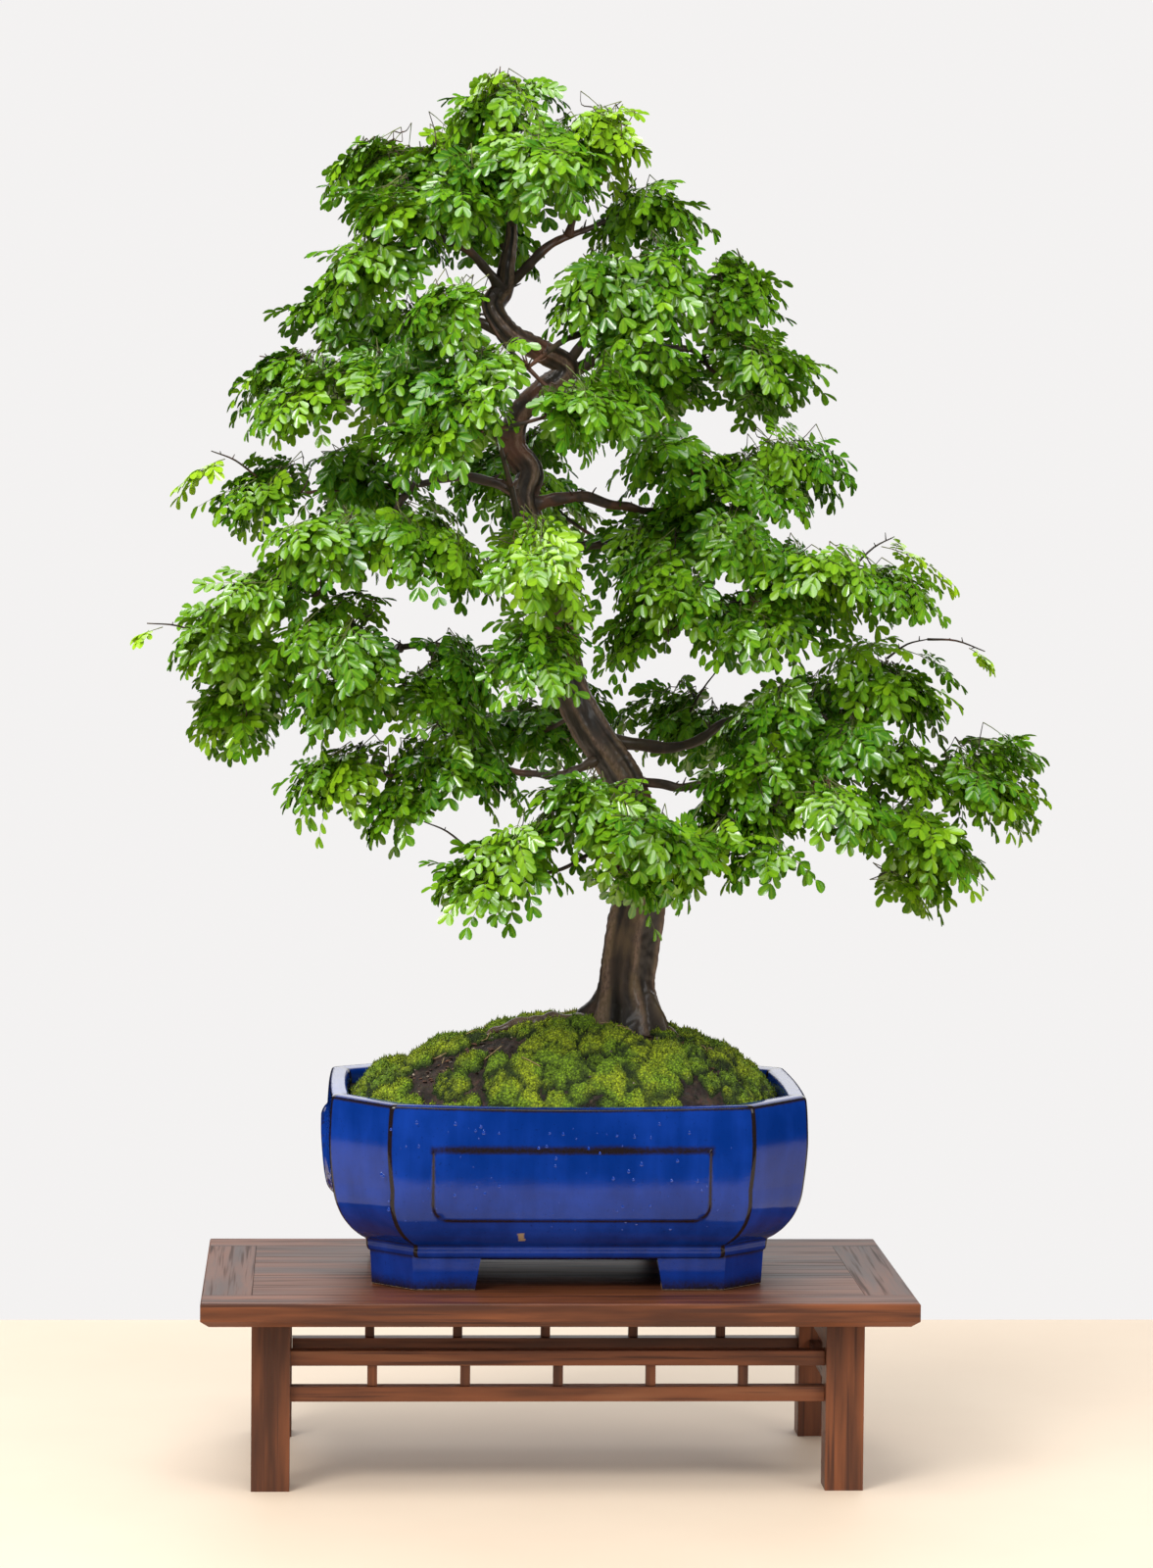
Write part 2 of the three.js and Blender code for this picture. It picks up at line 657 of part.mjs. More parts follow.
// A ring of the mound: the hollow's outline drawn in towards the middle by a share.
function moundRing(share, lift, relief) {
  const height = relief ? MOUND_EDGE : MOUND_EDGE - MOSS_THICKNESS - GAP;
  return hollowRing(height, MOUND_INSET, MOUND_STEPS_X, MOUND_STEPS_Y).map(([x, y]) => {
    const px = POT_X + (x - POT_X) * share;
    const py = POT_Y + (y - POT_Y) * share;
    const cushion = relief ? cushionHeight(px, py) * Math.min(1, 8 * (1 - share)) : 0;
    return [px, py, moundHeight(px, py) + lift + cushion];
  });
}

// The foot of the trunk: straight below the soil, flared and lobed at it, round where the trunk begins.
function rootFlare(grow) {
  const [x, y, z] = TRUNK[1];
  const lobe = (angle) => Math.cos(5 * angle + 0.6) + 0.5 * Math.cos(2 * angle - 0.3);
  const rings = ROOT_LEVELS.map(([height, radius, depth]) =>
    Array.from({ length: ROOT_SIDES }, (_, i) => {
      const angle = (i / ROOT_SIDES) * 2 * Math.PI;
      const r = radius * (1 + depth * lobe(angle)) + grow;
      return [x + r * Math.cos(angle), y + r * Math.sin(angle), z + height];
    }),
  );
  return solidOf(loft(rings));
}

function buildSoilAndMoss() {
  const hole = rootFlare(ROOT_CLEARANCE);
  const deep = MOSS_THICKNESS + GAP;
  const edge = (height) => hollowRing(height, MOUND_INSET, MOUND_STEPS_X, MOUND_STEPS_Y);
  const soilRings = [edge(POT_FLOOR + GAP), edge(MOUND_EDGE - deep)];
  for (const share of SOIL_SHARES) soilRings.push(moundRing(share, -deep, false));
  place("soil", geometryOf(solidOf(loft(soilRings)).subtract(hole)), SKIN.soil);
  const mossRings = [...SOIL_SHARES].reverse().map((share) => moundRing(share, -MOSS_THICKNESS, false));
  mossRings.push(moundRing(1, -MOSS_THICKNESS, false));
  for (const share of MOSS_SHARES) mossRings.push(moundRing(share, 0, true));
  place("moss", geometryOf(solidOf(loft(mossRings, SOIL_SHARES.length)).subtract(hole)), SKIN.moss);
}

// A tapered tube along a smooth curve: rings square to the curve, with the radius given at each point.
function taperedTube(points, radii, sides, steps) {
  const curve = new THREE.CatmullRomCurve3(points, false, "centripetal");
  const frames = curve.computeFrenetFrames(steps, false);
  const rings = [];
  for (let i = 0; i <= steps; i++) {
    const share = i / steps;
    const centre = curve.getPointAt(share);
    const t = curve.getUtoTmapping(share) * (radii.length - 1);
    const k = Math.min(Math.floor(t), radii.length - 2);
    const radius = radii[k] + (radii[k + 1] - radii[k]) * (t - k);
    const ring = [];
    for (let s = 0; s < sides; s++) {
      const angle = (s / sides) * 2 * Math.PI;
      const point = centre.clone();
      point.addScaledVector(frames.normals[i], radius * Math.cos(angle));
      point.addScaledVector(frames.binormals[i], radius * Math.sin(angle));
      ring.push(point.toArray());
    }
    rings.push(ring);
  }
  return { curve, solid: solidOf(loft(rings)) };
}

const vector = (point) => new THREE.Vector3(...point.slice(0, 3));

// Where a spray's hub sits: inside its pad, nearer to the limb that carries it.
function hubOf(spray, start) {
  const centre = vector(spray.centre);
  const back = start.clone().sub(centre);
  back.z = Math.min(back.z, 0);
  const reach = Math.min(HUB_BACK_SHARE * Math.min(spray.size[0], spray.size[1]), back.length() / 2);
  const hub = centre.add(back.normalize().multiplyScalar(reach));
  hub.z = spray.centre[2] - HUB_DROP_SHARE * spray.size[2];
  return hub;
}

// The trunk, its limbs and the twig to each spray, grown as one piece.
function buildWood() {
  const trunk = taperedTube(TRUNK.map(vector), TRUNK.map((point) => point[3]), TRUNK_SIDES, TRUNK_STEPS);
  const paths = { trunk: trunk.curve };
  let wood = rootFlare(0).add(trunk.solid);
  const seats = {};
  for (const [name, limb] of Object.entries(LIMBS)) {
    const start = trunk.curve.getPointAt(limb.from);
    const points = [start, ...limb.bends.map(vector)];
    const last = SPRAYS.find((spray) => spray.limb === name && spray.from === 1);
    points.push(hubOf(last, points[points.length - 1]));
    const radii = points.map((_, i) => limb.radius + ((TWIG_RADIUS - limb.radius) * i) / (points.length - 1));
    const tube = taperedTube(points, radii, LIMB_SIDES, 2 * points.length - 2);
    paths[name] = tube.curve;
    seats[last.name] = { hub: points[points.length - 1], direction: tube.curve.getTangentAt(1) };
    wood = wood.add(tube.solid);
  }
  for (const spray of SPRAYS.filter(({ name }) => !(name in seats))) {
    const start = paths[spray.limb].getPointAt(Math.min(spray.from, LAST_ON_TRUNK));
    const hub = hubOf(spray, start);
    const middle = start.clone().lerp(hub, 0.5);
      middle.z += TWIG_ARCH;
    const points = [start, middle, hub];
    const radii = [1.5 * TWIG_RADIUS, 1.25 * TWIG_RADIUS, TWIG_RADIUS];
    const tube = taperedTube(points, radii, TWIG_SIDES, TWIG_STEPS);
    wood = wood.add(tube.solid);
    seats[spray.name] = { hub, direction: tube.curve.getTangentAt(1) };
  }
  place("trunk_and_branches", geometryOf(wood), SKIN.bark);
  return seats;
}

// A compound leaf's outline along +X: a slim stalk, then pairs of leaflets cut to the rib.
function leafShape(stalk, length, width) {
  const shape = new THREE.Shape();
  const half = PETIOLE_WIDTH / 2;
  const pitch = length / (PAIRS + 0.45);
  const side = [];
  for (let pair = 0; pair < PAIRS; pair++) {
    const root = stalk + pair * pitch;
    const spread = (width / 2) * (0.82 + 0.18 * Math.sin((Math.PI * (pair + 0.6)) / PAIRS));
    side.push([root, half]);
    side.push([root + 0.2 * pitch, spread]);
    side.push([root + 0.98 * pitch, spread * 0.94]);
  }
  shape.moveTo(0, -half);
  side.forEach(([x, y]) => shape.lineTo(x, -y));
  shape.lineTo(stalk + length, 0);
  side.reverse().forEach(([x, y]) => shape.lineTo(x, y));
  shape.lineTo(0, half);
  return shape;
}

// The leaf as a thin blade, arched down towards its tip and its sides.
function leafGeometry(stalk, length, width, droop) {
  const shape = leafShape(stalk, length, width);
  const options = { depth: LEAF_THICKNESS, bevelEnabled: false, steps: 1, curveSegments: 1 };
  const geometry = new THREE.ExtrudeGeometry(shape, options);
  const position = geometry.attributes.position;
  for (let i = 0; i < position.count; i++) {
    const x = position.getX(i);
    const y = position.getY(i);
    const along = Math.max(0, x - stalk * 0.4) / length;
    const sag = droop * length * along * along + BLADE_FOLD * Math.abs(y);
    position.setZ(i, position.getZ(i) - LEAF_THICKNESS / 2 - sag);
  }
  return geometry;
}

// A blade turned to leave the hub in a direction, rolled about that direction.
function turned(geometry, origin, direction, roll) {
  const up = new THREE.Vector3(0, 0, 1);
  const side = new THREE.Vector3().crossVectors(up, direction).normalize();
  const normal = new THREE.Vector3().crossVectors(direction, side).normalize();
  const basis = new THREE.Matrix4().makeBasis(direction, side, normal);
  const rolled = new THREE.Matrix4().makeRotationX(roll);
  const matrix = new THREE.Matrix4().makeTranslation(origin.x, origin.y, origin.z);
  return geometry.clone().applyMatrix4(matrix.multiply(basis).multiply(rolled));
}

// One spray: a short shoot on the limb's tip, with leaves fused to it that reach out to the pad's edge.
// A leaf that would cross another piece is drawn again, and made shorter each time.
function buildSpray(spray, seat, draw) {
  const root = seat.hub.clone().addScaledVector(seat.direction, GAP);
  const shoot = new THREE.CylinderGeometry(SHOOT_TIP, SHOOT_FOOT, SHOOT_LENGTH, 6);
  shoot.translate(0, SHOOT_LENGTH / 2, 0);
  const lean = new THREE.Quaternion().setFromUnitVectors(new THREE.Vector3(0, 1, 0), seat.direction);
  shoot.applyQuaternion(lean).translate(...root.toArray());
  let made = solidOf(shoot);
  const origin = root.clone().addScaledVector(seat.direction, LEAVES_AT);
  const centre = vector(spray.centre);
  const half = spray.size.map((value) => value / 2);
  const others = [...solids.values()];
  const firstAngle = draw() * 2 * Math.PI;
  for (let leaf = 0; leaf < spray.leaves; leaf++) {
    for (let attempt = 0; attempt < LEAF_TRIES; attempt++) {
      const angle = firstAngle + (leaf / spray.leaves) * 2 * Math.PI + (draw() - 0.5) * LEAF_TURN_SPREAD;
      const lift = LEAF_LIFTS[leaf % LEAF_LIFTS.length] + (draw() - 0.5) * LEAF_LIFT_SPREAD;
      const edge = centre.clone();
      edge.x += Math.cos(angle) * half[0] * Math.cos(lift);
      edge.y += Math.sin(angle) * half[1] * Math.cos(lift);
      edge.z += Math.sin(lift) * half[2];
      if (leaf === 0 && spray.tip) edge.fromArray(spray.tip);
      const reach = edge.clone().sub(origin);
      const shorter = 1 - LEAF_SHRINK * (attempt / LEAF_TRIES);
      const span = Math.min(Math.max(reach.length(), LEAF_SPAN_LEAST), LEAF_SPAN_MOST) * shorter;
      const blade = span * BLADE_SHARE;
      const geometry = leafGeometry(span - blade, blade, blade * BLADE_WIDTH, LEAF_DROOP);
      const direction = reach.clone().normalize();
      direction.z += LEAF_RAISE;
      direction.normalize();
      const roll = (leaf % 2 === 0 ? 1 : -1) * (LEAF_ROLL_LEAST + draw() * LEAF_ROLL_SPREAD);
      const solid = solidOf(turned(geometry, origin, direction, roll));
      if (others.some((other) => solid.minGap(other, LEAF_CLEARANCE) < LEAF_CLEARANCE)) continue;
      const joined = made.add(solid);
      const extra = joined.numTri() - made.numTri() - solid.numTri();
      if (extra > MOST_EXTRA_TRIANGLES || joined.genus() !== 0) continue;
      made = joined;
      break;
    }
  }
  place("spray_" + spray.name, geometryOf(made), spray.fresh ? SKIN.freshLeaf : SKIN.leaf);
}

buildTop();
buildLegsAndRails();
buildPot();
buildSoilAndMoss();
const seats = buildWood();
const draw = seeded(7);
for (const spray of SPRAYS) buildSpray(spray, seats[spray.name], draw);

// The origin moves to the middle of the bounding box's underside.
const bounds = new THREE.Box3().setFromObject(bonsai);
const middle = bounds.getCenter(new THREE.Vector3());
bonsai.children.forEach((mesh) => mesh.geometry.translate(-middle.x, -middle.y, -bounds.min.z));

export default bonsai;
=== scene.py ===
"""The looks of a Brazilian rain tree bonsai in a blue glazed pot on a walnut stand.

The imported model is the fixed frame. The stand's own solids stay and get their timber. The pot, soil, moss,
wood and leaves are made here as fine surfaces that keep the form of the solids they stand for.
"""
import math

import bpy
import numpy as np
from bpy.props import FloatProperty, FloatVectorProperty, PointerProperty
from mathutils import Matrix, Vector


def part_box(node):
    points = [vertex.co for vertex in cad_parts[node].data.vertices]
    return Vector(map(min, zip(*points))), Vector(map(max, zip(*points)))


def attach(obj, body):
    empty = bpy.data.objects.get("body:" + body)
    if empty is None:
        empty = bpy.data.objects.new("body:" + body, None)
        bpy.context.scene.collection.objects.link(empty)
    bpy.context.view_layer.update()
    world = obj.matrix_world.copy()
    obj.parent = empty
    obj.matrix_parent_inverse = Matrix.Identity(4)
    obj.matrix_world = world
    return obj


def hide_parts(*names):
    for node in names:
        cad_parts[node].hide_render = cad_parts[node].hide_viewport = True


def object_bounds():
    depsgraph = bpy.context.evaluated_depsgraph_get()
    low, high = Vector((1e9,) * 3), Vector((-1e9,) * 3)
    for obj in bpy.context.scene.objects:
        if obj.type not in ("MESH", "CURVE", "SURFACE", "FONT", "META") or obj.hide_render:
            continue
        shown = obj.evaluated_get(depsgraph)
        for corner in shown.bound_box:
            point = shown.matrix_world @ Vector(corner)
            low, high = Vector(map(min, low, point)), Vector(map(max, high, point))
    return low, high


bl_info = {
    "name": "Rain tree bonsai",
    "version": (1, 0, 0),
    "blender": (4, 5, 0),
    "location": "View3D > Sidebar > Bonsai",
    "description": "A rain tree bonsai with its glazed pot, moss and walnut stand",
    "category": "Add Mesh",
}

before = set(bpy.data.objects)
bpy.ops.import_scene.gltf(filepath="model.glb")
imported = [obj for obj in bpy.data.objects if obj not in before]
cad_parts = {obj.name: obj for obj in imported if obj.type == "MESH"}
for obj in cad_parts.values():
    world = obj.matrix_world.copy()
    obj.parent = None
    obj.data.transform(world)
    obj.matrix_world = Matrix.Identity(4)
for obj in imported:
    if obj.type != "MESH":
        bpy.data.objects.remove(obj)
CAD_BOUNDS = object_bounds()
MM = 0.001

# Places that the model gives, in metres: the stand's middle and the top that carries the pot
FRONT_LOW, FRONT_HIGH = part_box("top_front_strip")
_, BACK_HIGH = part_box("top_back_strip")
STAND_X = (FRONT_LOW.x + FRONT_HIGH.x) / 2
STAND_Y = (FRONT_LOW.y + BACK_HIGH.y) / 2
STAND_TOP = FRONT_HIGH.z

# The photograph's frame and the camera that took it, in millimetres from the stand's middle on its floor
PHOTO_HEIGHT_PX = 1600
FOCAL_PX = 4800
SENSOR = 36.0
CAMERA_PLACE = (-200.0, -4038.5, 844.1)
CAMERA_YAW = math.radians(3.0786)
CAMERA_PITCH = math.radians(3.6193)
CAMERA_ROLL = math.radians(0.5323)

# The floor in metres from the stand's middle: its reach to the back, to where its mirrored part ends at the
# front, and to the sides and the front edge
FLOOR_BACK = 0.685
FLOOR_FRONT = 0.82
FLOOR_HALF = 2.4

# The soft lights: place, width and height in metres, and power in watts; all aim at the middle of the tree
LIGHTS = {
    "key": ((-1.7, -2.4, 2.6), (1.2, 1.2), 70),
    "fill": ((2.4, -2.6, 1.5), (1.2, 1.8), 26),
    "rear": ((0.2, 2.6, 1.6), (3.4, 2.2), 34),
    "above": ((-0.5, -1.0, 2.9), (2.2, 1.6), 42),
}
LIGHT_AIM = (STAND_X, STAND_Y, 0.6)
WORLD_COLOUR = (1.0, 0.985, 0.98, 1.0)
WORLD_STRENGTH = 0.9

# The pot, in millimetres from its own middle on the stand's top: its place on the stand, the cut of its
# corners, how far its long faces bow out, and how much its rim rises towards the ends
POT_PLACE = (9.0, 8.0)
CORNER = 50.0
FRONT_BOW = 4.0
RIM_RISE = 4.0

# Its wall from the foot up the outside, over the rim and down inside: height, half width, half depth
BELLY = (
    (26, 163, 111),
    (28, 167.5, 115.5),
    (30, 169.8, 117.8),
    (33, 170.8, 118.8),
    (37.5, 171.2, 119.2),
    (39.5, 172.4, 120.4),
    (41.5, 175.4, 123.4),
    (45, 179.6, 127.6),
    (50, 184.5, 132.5),
    (58, 190.4, 138.4),
    (66, 194.5, 142.5),
    (76, 198, 146),
    (88, 200, 148),
    (104, 201.8, 149.8),
    (122, 203, 151),
    (140, 202.6, 150.8),
    (152, 201.8, 150.2),
    (157.2, 201, 149.6),
    (159.3, 199.6, 148.2),
    (160.2, 196.6, 145.2),
    (160, 190, 138.5),
    (159.2, 187, 135.5),
    (155, 185.2, 133.7),
    (142, 184, 132.5),
)
RIM_ROW = 19
RIM_START = 122.0
RIM_REACH = 199.0
RIM_LINE = 158.2
EDGE_EASE = 3.0
FAR = 99.0

# The raised panels on the long faces, with their rounded lower corners, and the oval bosses on the short ones
PANEL_HALF = 116.0
PANEL_LOW = 64.0
PANEL_HIGH = 125.0
PANEL_CORNER = 14.0
PANEL_PROUD = 2.2
PANEL_SLOPE = 1.6
MEDALLION_Z = 103.0
MEDALLION_HALF = (46.0, 38.0)
MEDALLION_PROUD = 5.0

# The feet, the chip in the glaze low on the front (x, z and half sizes), and the water drops
FOOT_HEIGHT = 29.0
FOOT_HALF = (166.0, 114.0)
FOOT_INNER_X = 77.0
FOOT_INNER_Y = 62.0
FOOT_SLOPE = 5.0
FOOT_THICK = 20.0
CHIP_PLACE = (-43.0, 46.5)
CHIP_HALF = (2.8, 6.5)
DROPS = 110

# The mound of soil over the pot's hollow, as in the model, and the depth of the creases between moss cushions
HOLLOW_HALF = (185.0, 133.5)
MOUND_EDGE = 151.0
MOUND_RISE = 62.0
MOUND_CORNER = 44.0
MOUND_SQUARENESS = 2.6
MOUND_LEFT_SQUARENESS = 1.5
CREASE = 2.4
SOIL_DEPTH = 26.0
MOSS_DEPTH = 8.0
CUSHIONS = 255
TUFTS = 11000
TUFT_RADIUS = 0.95
STRAWS = 26

# Where the trunk leaves the soil, and the root flare's lobes there: direction, reach and width
TRUNK_FOOT = 384.0
FLARE_LOBES = (
    (3.05, 38, 0.34), (-0.62, 15, 0.24), (-1.75, 11, 0.36),
    (1.1, 16, 0.36), (2.2, 12, 0.3), (-2.45, 15, 0.26),
)

# The trunk's centre line with its radius: x, y, z, radius
TRUNK = (
    (65, 8, 352, 25),
    (65, 8, 372, 25),
    (63, 8, 396, 24),
    (62, 8, 418, 23),
    (66, 7, 455, 23.5),
    (73, 4, 495, 21.5),
    (74, 2, 520, 19.5),
    (70, 3, 554, 18),
    (61, 6, 588, 16.5),
    (46, 10, 613, 16),
    (27, 14, 641, 15.5),
    (10, 14, 677, 14.5),
    (5, 10, 723, 13.5),
    (-4, 4, 765, 12.5),
    (-24, 2, 811, 12),
    (-30, 4, 835, 11.5),
    (-25, 8, 857, 11),
    (-39, 12, 878, 10.5),
    (-35, 12, 905, 10.5),
    (-15, 8, 926, 10),
    (6, 4, 945, 10),
    (-15, 2, 959, 9.5),
    (-42, 5, 974, 9),
    (-58, 10, 998, 8.5),
    (-48, 12, 1016, 8),
    (-46, 10, 1032, 7),
    (-42, 8, 1062, 5),
    (-46, 6, 1090, 3.8),
    (-43, 5, 1118, 2.6),
)

# Surface roots: x, y and height above the mound from the trunk outwards, and the radius at the trunk
ROOTS = (
    (((58, 4, 8), (34, -4, 3), (10, -8, 5), (-14, -6, 6), (-40, 0, 5), (-62, 4, 1), (-76, 6, -4)), 9.0),
    (((70, 2, 6), (90, -8, 3), (104, -16, 2), (116, -20, -4)), 7.0),
    (((62, 16, 6), (48, 40, 3), (36, 60, 1), (26, 74, -5)), 6.5),
    (((72, 12, 6), (92, 32, 3), (106, 46, 0), (116, 54, -5)), 6.5),
    (((64, -2, 5), (58, -24, 1), (50, -38, -4)), 5.5),
)

# The limbs: the share of the trunk's length where each leaves it, its radius, its bends, and its spray
LIMBS = {
    "low_right": (0.335, 6, ((104, 18, 620), (150, 26, 640), (196, 36, 655)), "right_outer"),
    "low_right_front": (0.285, 4.8, ((104, -20, 588), (160, -40, 588), (214, -42, 590)), "right_front"),
    "low_left": (0.315, 5, ((0, -10, 597), (-55, -24, 602)), "low_left"),
    "low_front": (0.235, 5, ((62, -40, 560), (34, -84, 545)), "low_front"),
    "low_back": (0.365, 5.5, ((24, 62, 640), (30, 116, 645)), "low_back"),
    "left_arm": (0.435, 6, ((-40, 4, 688), (-85, 0, 700), (-130, -6, 706)), "left_outer"),
    "mid_right": (0.585, 6, ((24, 8, 836), (72, 10, 822), (118, 22, 826)), "mid_right"),
    "mid_right_low": (0.53, 5.5, ((44, 12, 794), (90, 4, 782)), "right_high"),
    "mid_left": (0.595, 5.5, ((-66, 14, 850), (-120, 30, 846)), "mid_left_back"),
    "mid_front": (0.55, 6, ((-30, -44, 812), (-34, -96, 800)), "mid_front"),
    "mid_back": (0.62, 5.5, ((-30, 66, 860), (-36, 116, 862)), "mid_back"),
    "upper_right": (0.73, 6, ((40, 10, 955), (84, 18, 962), (112, 26, 962)), "upper_right"),
    "upper_right_high": (0.735, 5.5, ((22, -4, 972), (40, -18, 1000)), "upper_right_front"),
    "upper_left": (0.8, 6, ((-88, 14, 990), (-124, 24, 984)), "upper_left"),
    "upper_left_low": (0.66, 5.5, ((-76, -8, 896), (-128, -26, 900)), "mid_left_high"),
    "crown_left": (0.875, 5, ((-78, -4, 1044), (-106, -14, 1050)), "crown_left_front"),
    "crown_right": (0.865, 5, ((-8, 14, 1052), (24, 24, 1066)), "crown_right"),
    "crown_back": (0.845, 4.5, ((-40, 52, 1022),), "crown_back"),
}

# The sprays that branch off a limb part of the way along it: the limb and the share of its length
SIDE_SPRAYS = {
    "apex": ("trunk", 0.985),
    "apex_right": ("crown_right", 0.62),
    "crown_front": ("trunk", 0.94),
    "crown_left": ("crown_left", 0.7),
    "upper_front": ("upper_right_high", 0.55),
    "mid_front_high": ("mid_front", 0.6),
    "mid_left_front": ("mid_left", 0.6),
    "left_inner": ("left_arm", 0.55),
    "right_back": ("low_right", 0.6),
}
FRESH_SPRAYS = ("apex_right", "crown_left")

# How limbs and sprays are drawn: the sides of a limb, and what is added to a spray's number for its seeds
LIMB_SIDES = 18
SPRAY_SEED = 200
LEAF_SEED = 500

# How leaves fill a pad: the turn from one to the next, how far a leaf reaches beyond its shoot, the room that
# leaves need inside the pad's outline, and how far leaflets may stand out of the model's box, in metres
GOLDEN_ANGLE = 2.39996
LEAF_REACH = 28.0
LEAF_ROOM = (25.0, 25.0, 17.0)
BOX_MARGIN = 0.008

# A compound leaf, in millimetres and degrees: its pairs of pinnae and of leaflets, its stalk's least and
# greatest length, and from foot to tip the pinnae's length and splay and the leaflets' sweep
PINNA_PAIRS = 3
LEAFLET_PAIRS = 5
STALK_LENGTH = (15, 30)
PINNA_LENGTH = (24, 35)
PINNA_SPLAY = (74, 30)
LEAFLET_SWEEP = (64, 26)

# A leaflet of length one: its outline from the root around, and the faces between the outline's points
LEAFLET_OUTLINE = np.array([
    (0.0, 0.0), (0.14, 0.12), (0.4, 0.23), (0.72, 0.28), (0.93, 0.18),
    (1.0, 0.0), (0.93, -0.18), (0.72, -0.28), (0.4, -0.23), (0.14, -0.12),
])
LEAFLET_FACES = np.array([
    (1, 2, 0), (2, 5, 0), (3, 5, 2), (4, 5, 3), (8, 9, 0), (5, 8, 0), (5, 7, 8), (5, 6, 7),
])
DOWN = np.array([0.0, 0.0, -1.0])

# The foliage pads of each spray: x, y, z of the middle, half sizes in x, y, z, and how fresh and yellow it is
PADS = {
    "apex": ((-58, 5, 1178, 50, 46, 23, 0.2), (-29, -16, 1135, 71, 52, 32, 0.12)),
    "apex_right": ((34, -6, 1148, 31, 34, 40, 0.6),),
    "crown_front": ((-22, -74, 1114, 42, 52, 37, 0.1),),
    "crown_left": ((-159, 26, 1128, 46, 44, 27, 0.3), (-100, 20, 1125, 50, 44, 34, 0.25)),
    "crown_left_front": (
        (-141, -46, 1085, 50, 52, 33, 0.1), (-169, -40, 1036, 46, 50, 28, 0.15),
        (-84, -60, 1098, 37, 46, 41, 0.05),
    ),
    "crown_right": ((72, 44, 1086, 54, 50, 28, 0.15),),
    "crown_back": ((-66, 116, 1087, 72, 60, 50, 0.0),),
    "upper_right_front": (
        (27, -58, 1016, 35, 52, 38, 0.0), (85, -40, 1029, 37, 50, 38, 0.1),
        (62, -50, 986, 40, 46, 26, 0.05),
    ),
    "upper_right": (
        (151, 38, 1021, 47, 54, 32, 0.15), (172, 30, 954, 54, 60, 46, 0.12), (84, 50, 946, 46, 60, 46, 0.0),
    ),
    "upper_front": (
        (-98, -112, 996, 44, 50, 28, 0.05), (-84, -120, 944, 48, 56, 32, 0.0),
        (38, -120, 923, 50, 56, 30, 0.1),
    ),
    "upper_left": (
        (-185, 60, 995, 56, 54, 28, 0.15), (-236, 62, 945, 46, 44, 21, 0.2),
        (-118, 40, 982, 44, 50, 34, 0.05),
    ),
    "mid_left_high": ((-218, -46, 926, 48, 58, 36, 0.15), (-145, -60, 936, 46, 60, 40, 0.05)),
    "mid_front_high": ((-104, -150, 898, 54, 58, 47, 0.05), (13, -156, 913, 34, 50, 35, 0.1)),
    "mid_right": (
        (186, 10, 864, 82, 64, 42, 0.1), (90, -20, 877, 48, 50, 30, 0.05),
        (92, 10, 812, 58, 56, 32, 0.0), (148, -40, 806, 44, 48, 34, 0.05),
    ),
    "mid_left_back": ((-255, 90, 845, 52, 56, 28, 0.15), (-172, 80, 851, 55, 60, 40, 0.0)),
    "mid_left_front": (
        (-206, -96, 801, 58, 58, 31, 0.15), (-108, -110, 800, 54, 62, 46, 0.05),
        (-250, -60, 758, 48, 46, 24, 0.2),
    ),
    "mid_back": ((-26, 200, 860, 72, 58, 54, 0.0), (107, 196, 801, 66, 54, 40, 0.0)),
    "left_outer": (
        (-275, 0, 701, 50, 66, 60, 0.2), (-300, -10, 722, 30, 30, 16, 0.3),
        (-276, 10, 652, 34, 42, 32, 0.15),
    ),
    "left_inner": (
        (-183, -76, 722, 53, 60, 43, 0.1), (-94, -60, 682, 47, 50, 42, 0.05),
        (-190, -60, 672, 44, 50, 30, 0.1),
    ),
    "mid_front": ((-25, -172, 790, 46, 50, 42, 0.35), (-24, -160, 718, 38, 48, 42, 0.05)),
    "right_high": (
        (82, -40, 751, 62, 62, 54, 0.05), (226, -56, 768, 92, 62, 42, 0.12),
        (168, -50, 735, 48, 50, 30, 0.05),
    ),
    "right_back": ((119, 116, 640, 58, 62, 38, 0.0), (224, 112, 646, 66, 64, 46, 0.1)),
    "right_outer": (
        (263, 12, 662, 88, 70, 58, 0.12), (376, 8, 597, 56, 60, 50, 0.2), (310, -20, 539, 50, 54, 58, 0.25),
        (306, -16, 608, 46, 44, 24, 0.15), (239, -40, 634, 50, 44, 22, 0.05),
        (188, -44, 660, 46, 38, 20, 0.05),
    ),
    "right_front": (
        (150, -90, 558, 70, 62, 44, 0.1), (237, -100, 582, 46, 52, 31, 0.15),
        (195, -40, 606, 56, 50, 26, 0.05), (160, -78, 606, 62, 34, 18, 0.1),
    ),
    "low_left": (
        (-185, -36, 606, 56, 52, 27, 0.2), (-84, -30, 616, 70, 56, 32, 0.05),
        (-140, -40, 576, 26, 30, 26, 0.15),
    ),
    "low_front": (
        (64, -150, 551, 63, 56, 64, 0.15), (-54, -150, 537, 64, 58, 46, 0.1),
        (20, -120, 585, 46, 50, 36, 0.05),
    ),
    "low_back": ((11, 204, 635, 70, 58, 42, 0.0), (-78, 190, 635, 42, 48, 36, 0.0)),
}

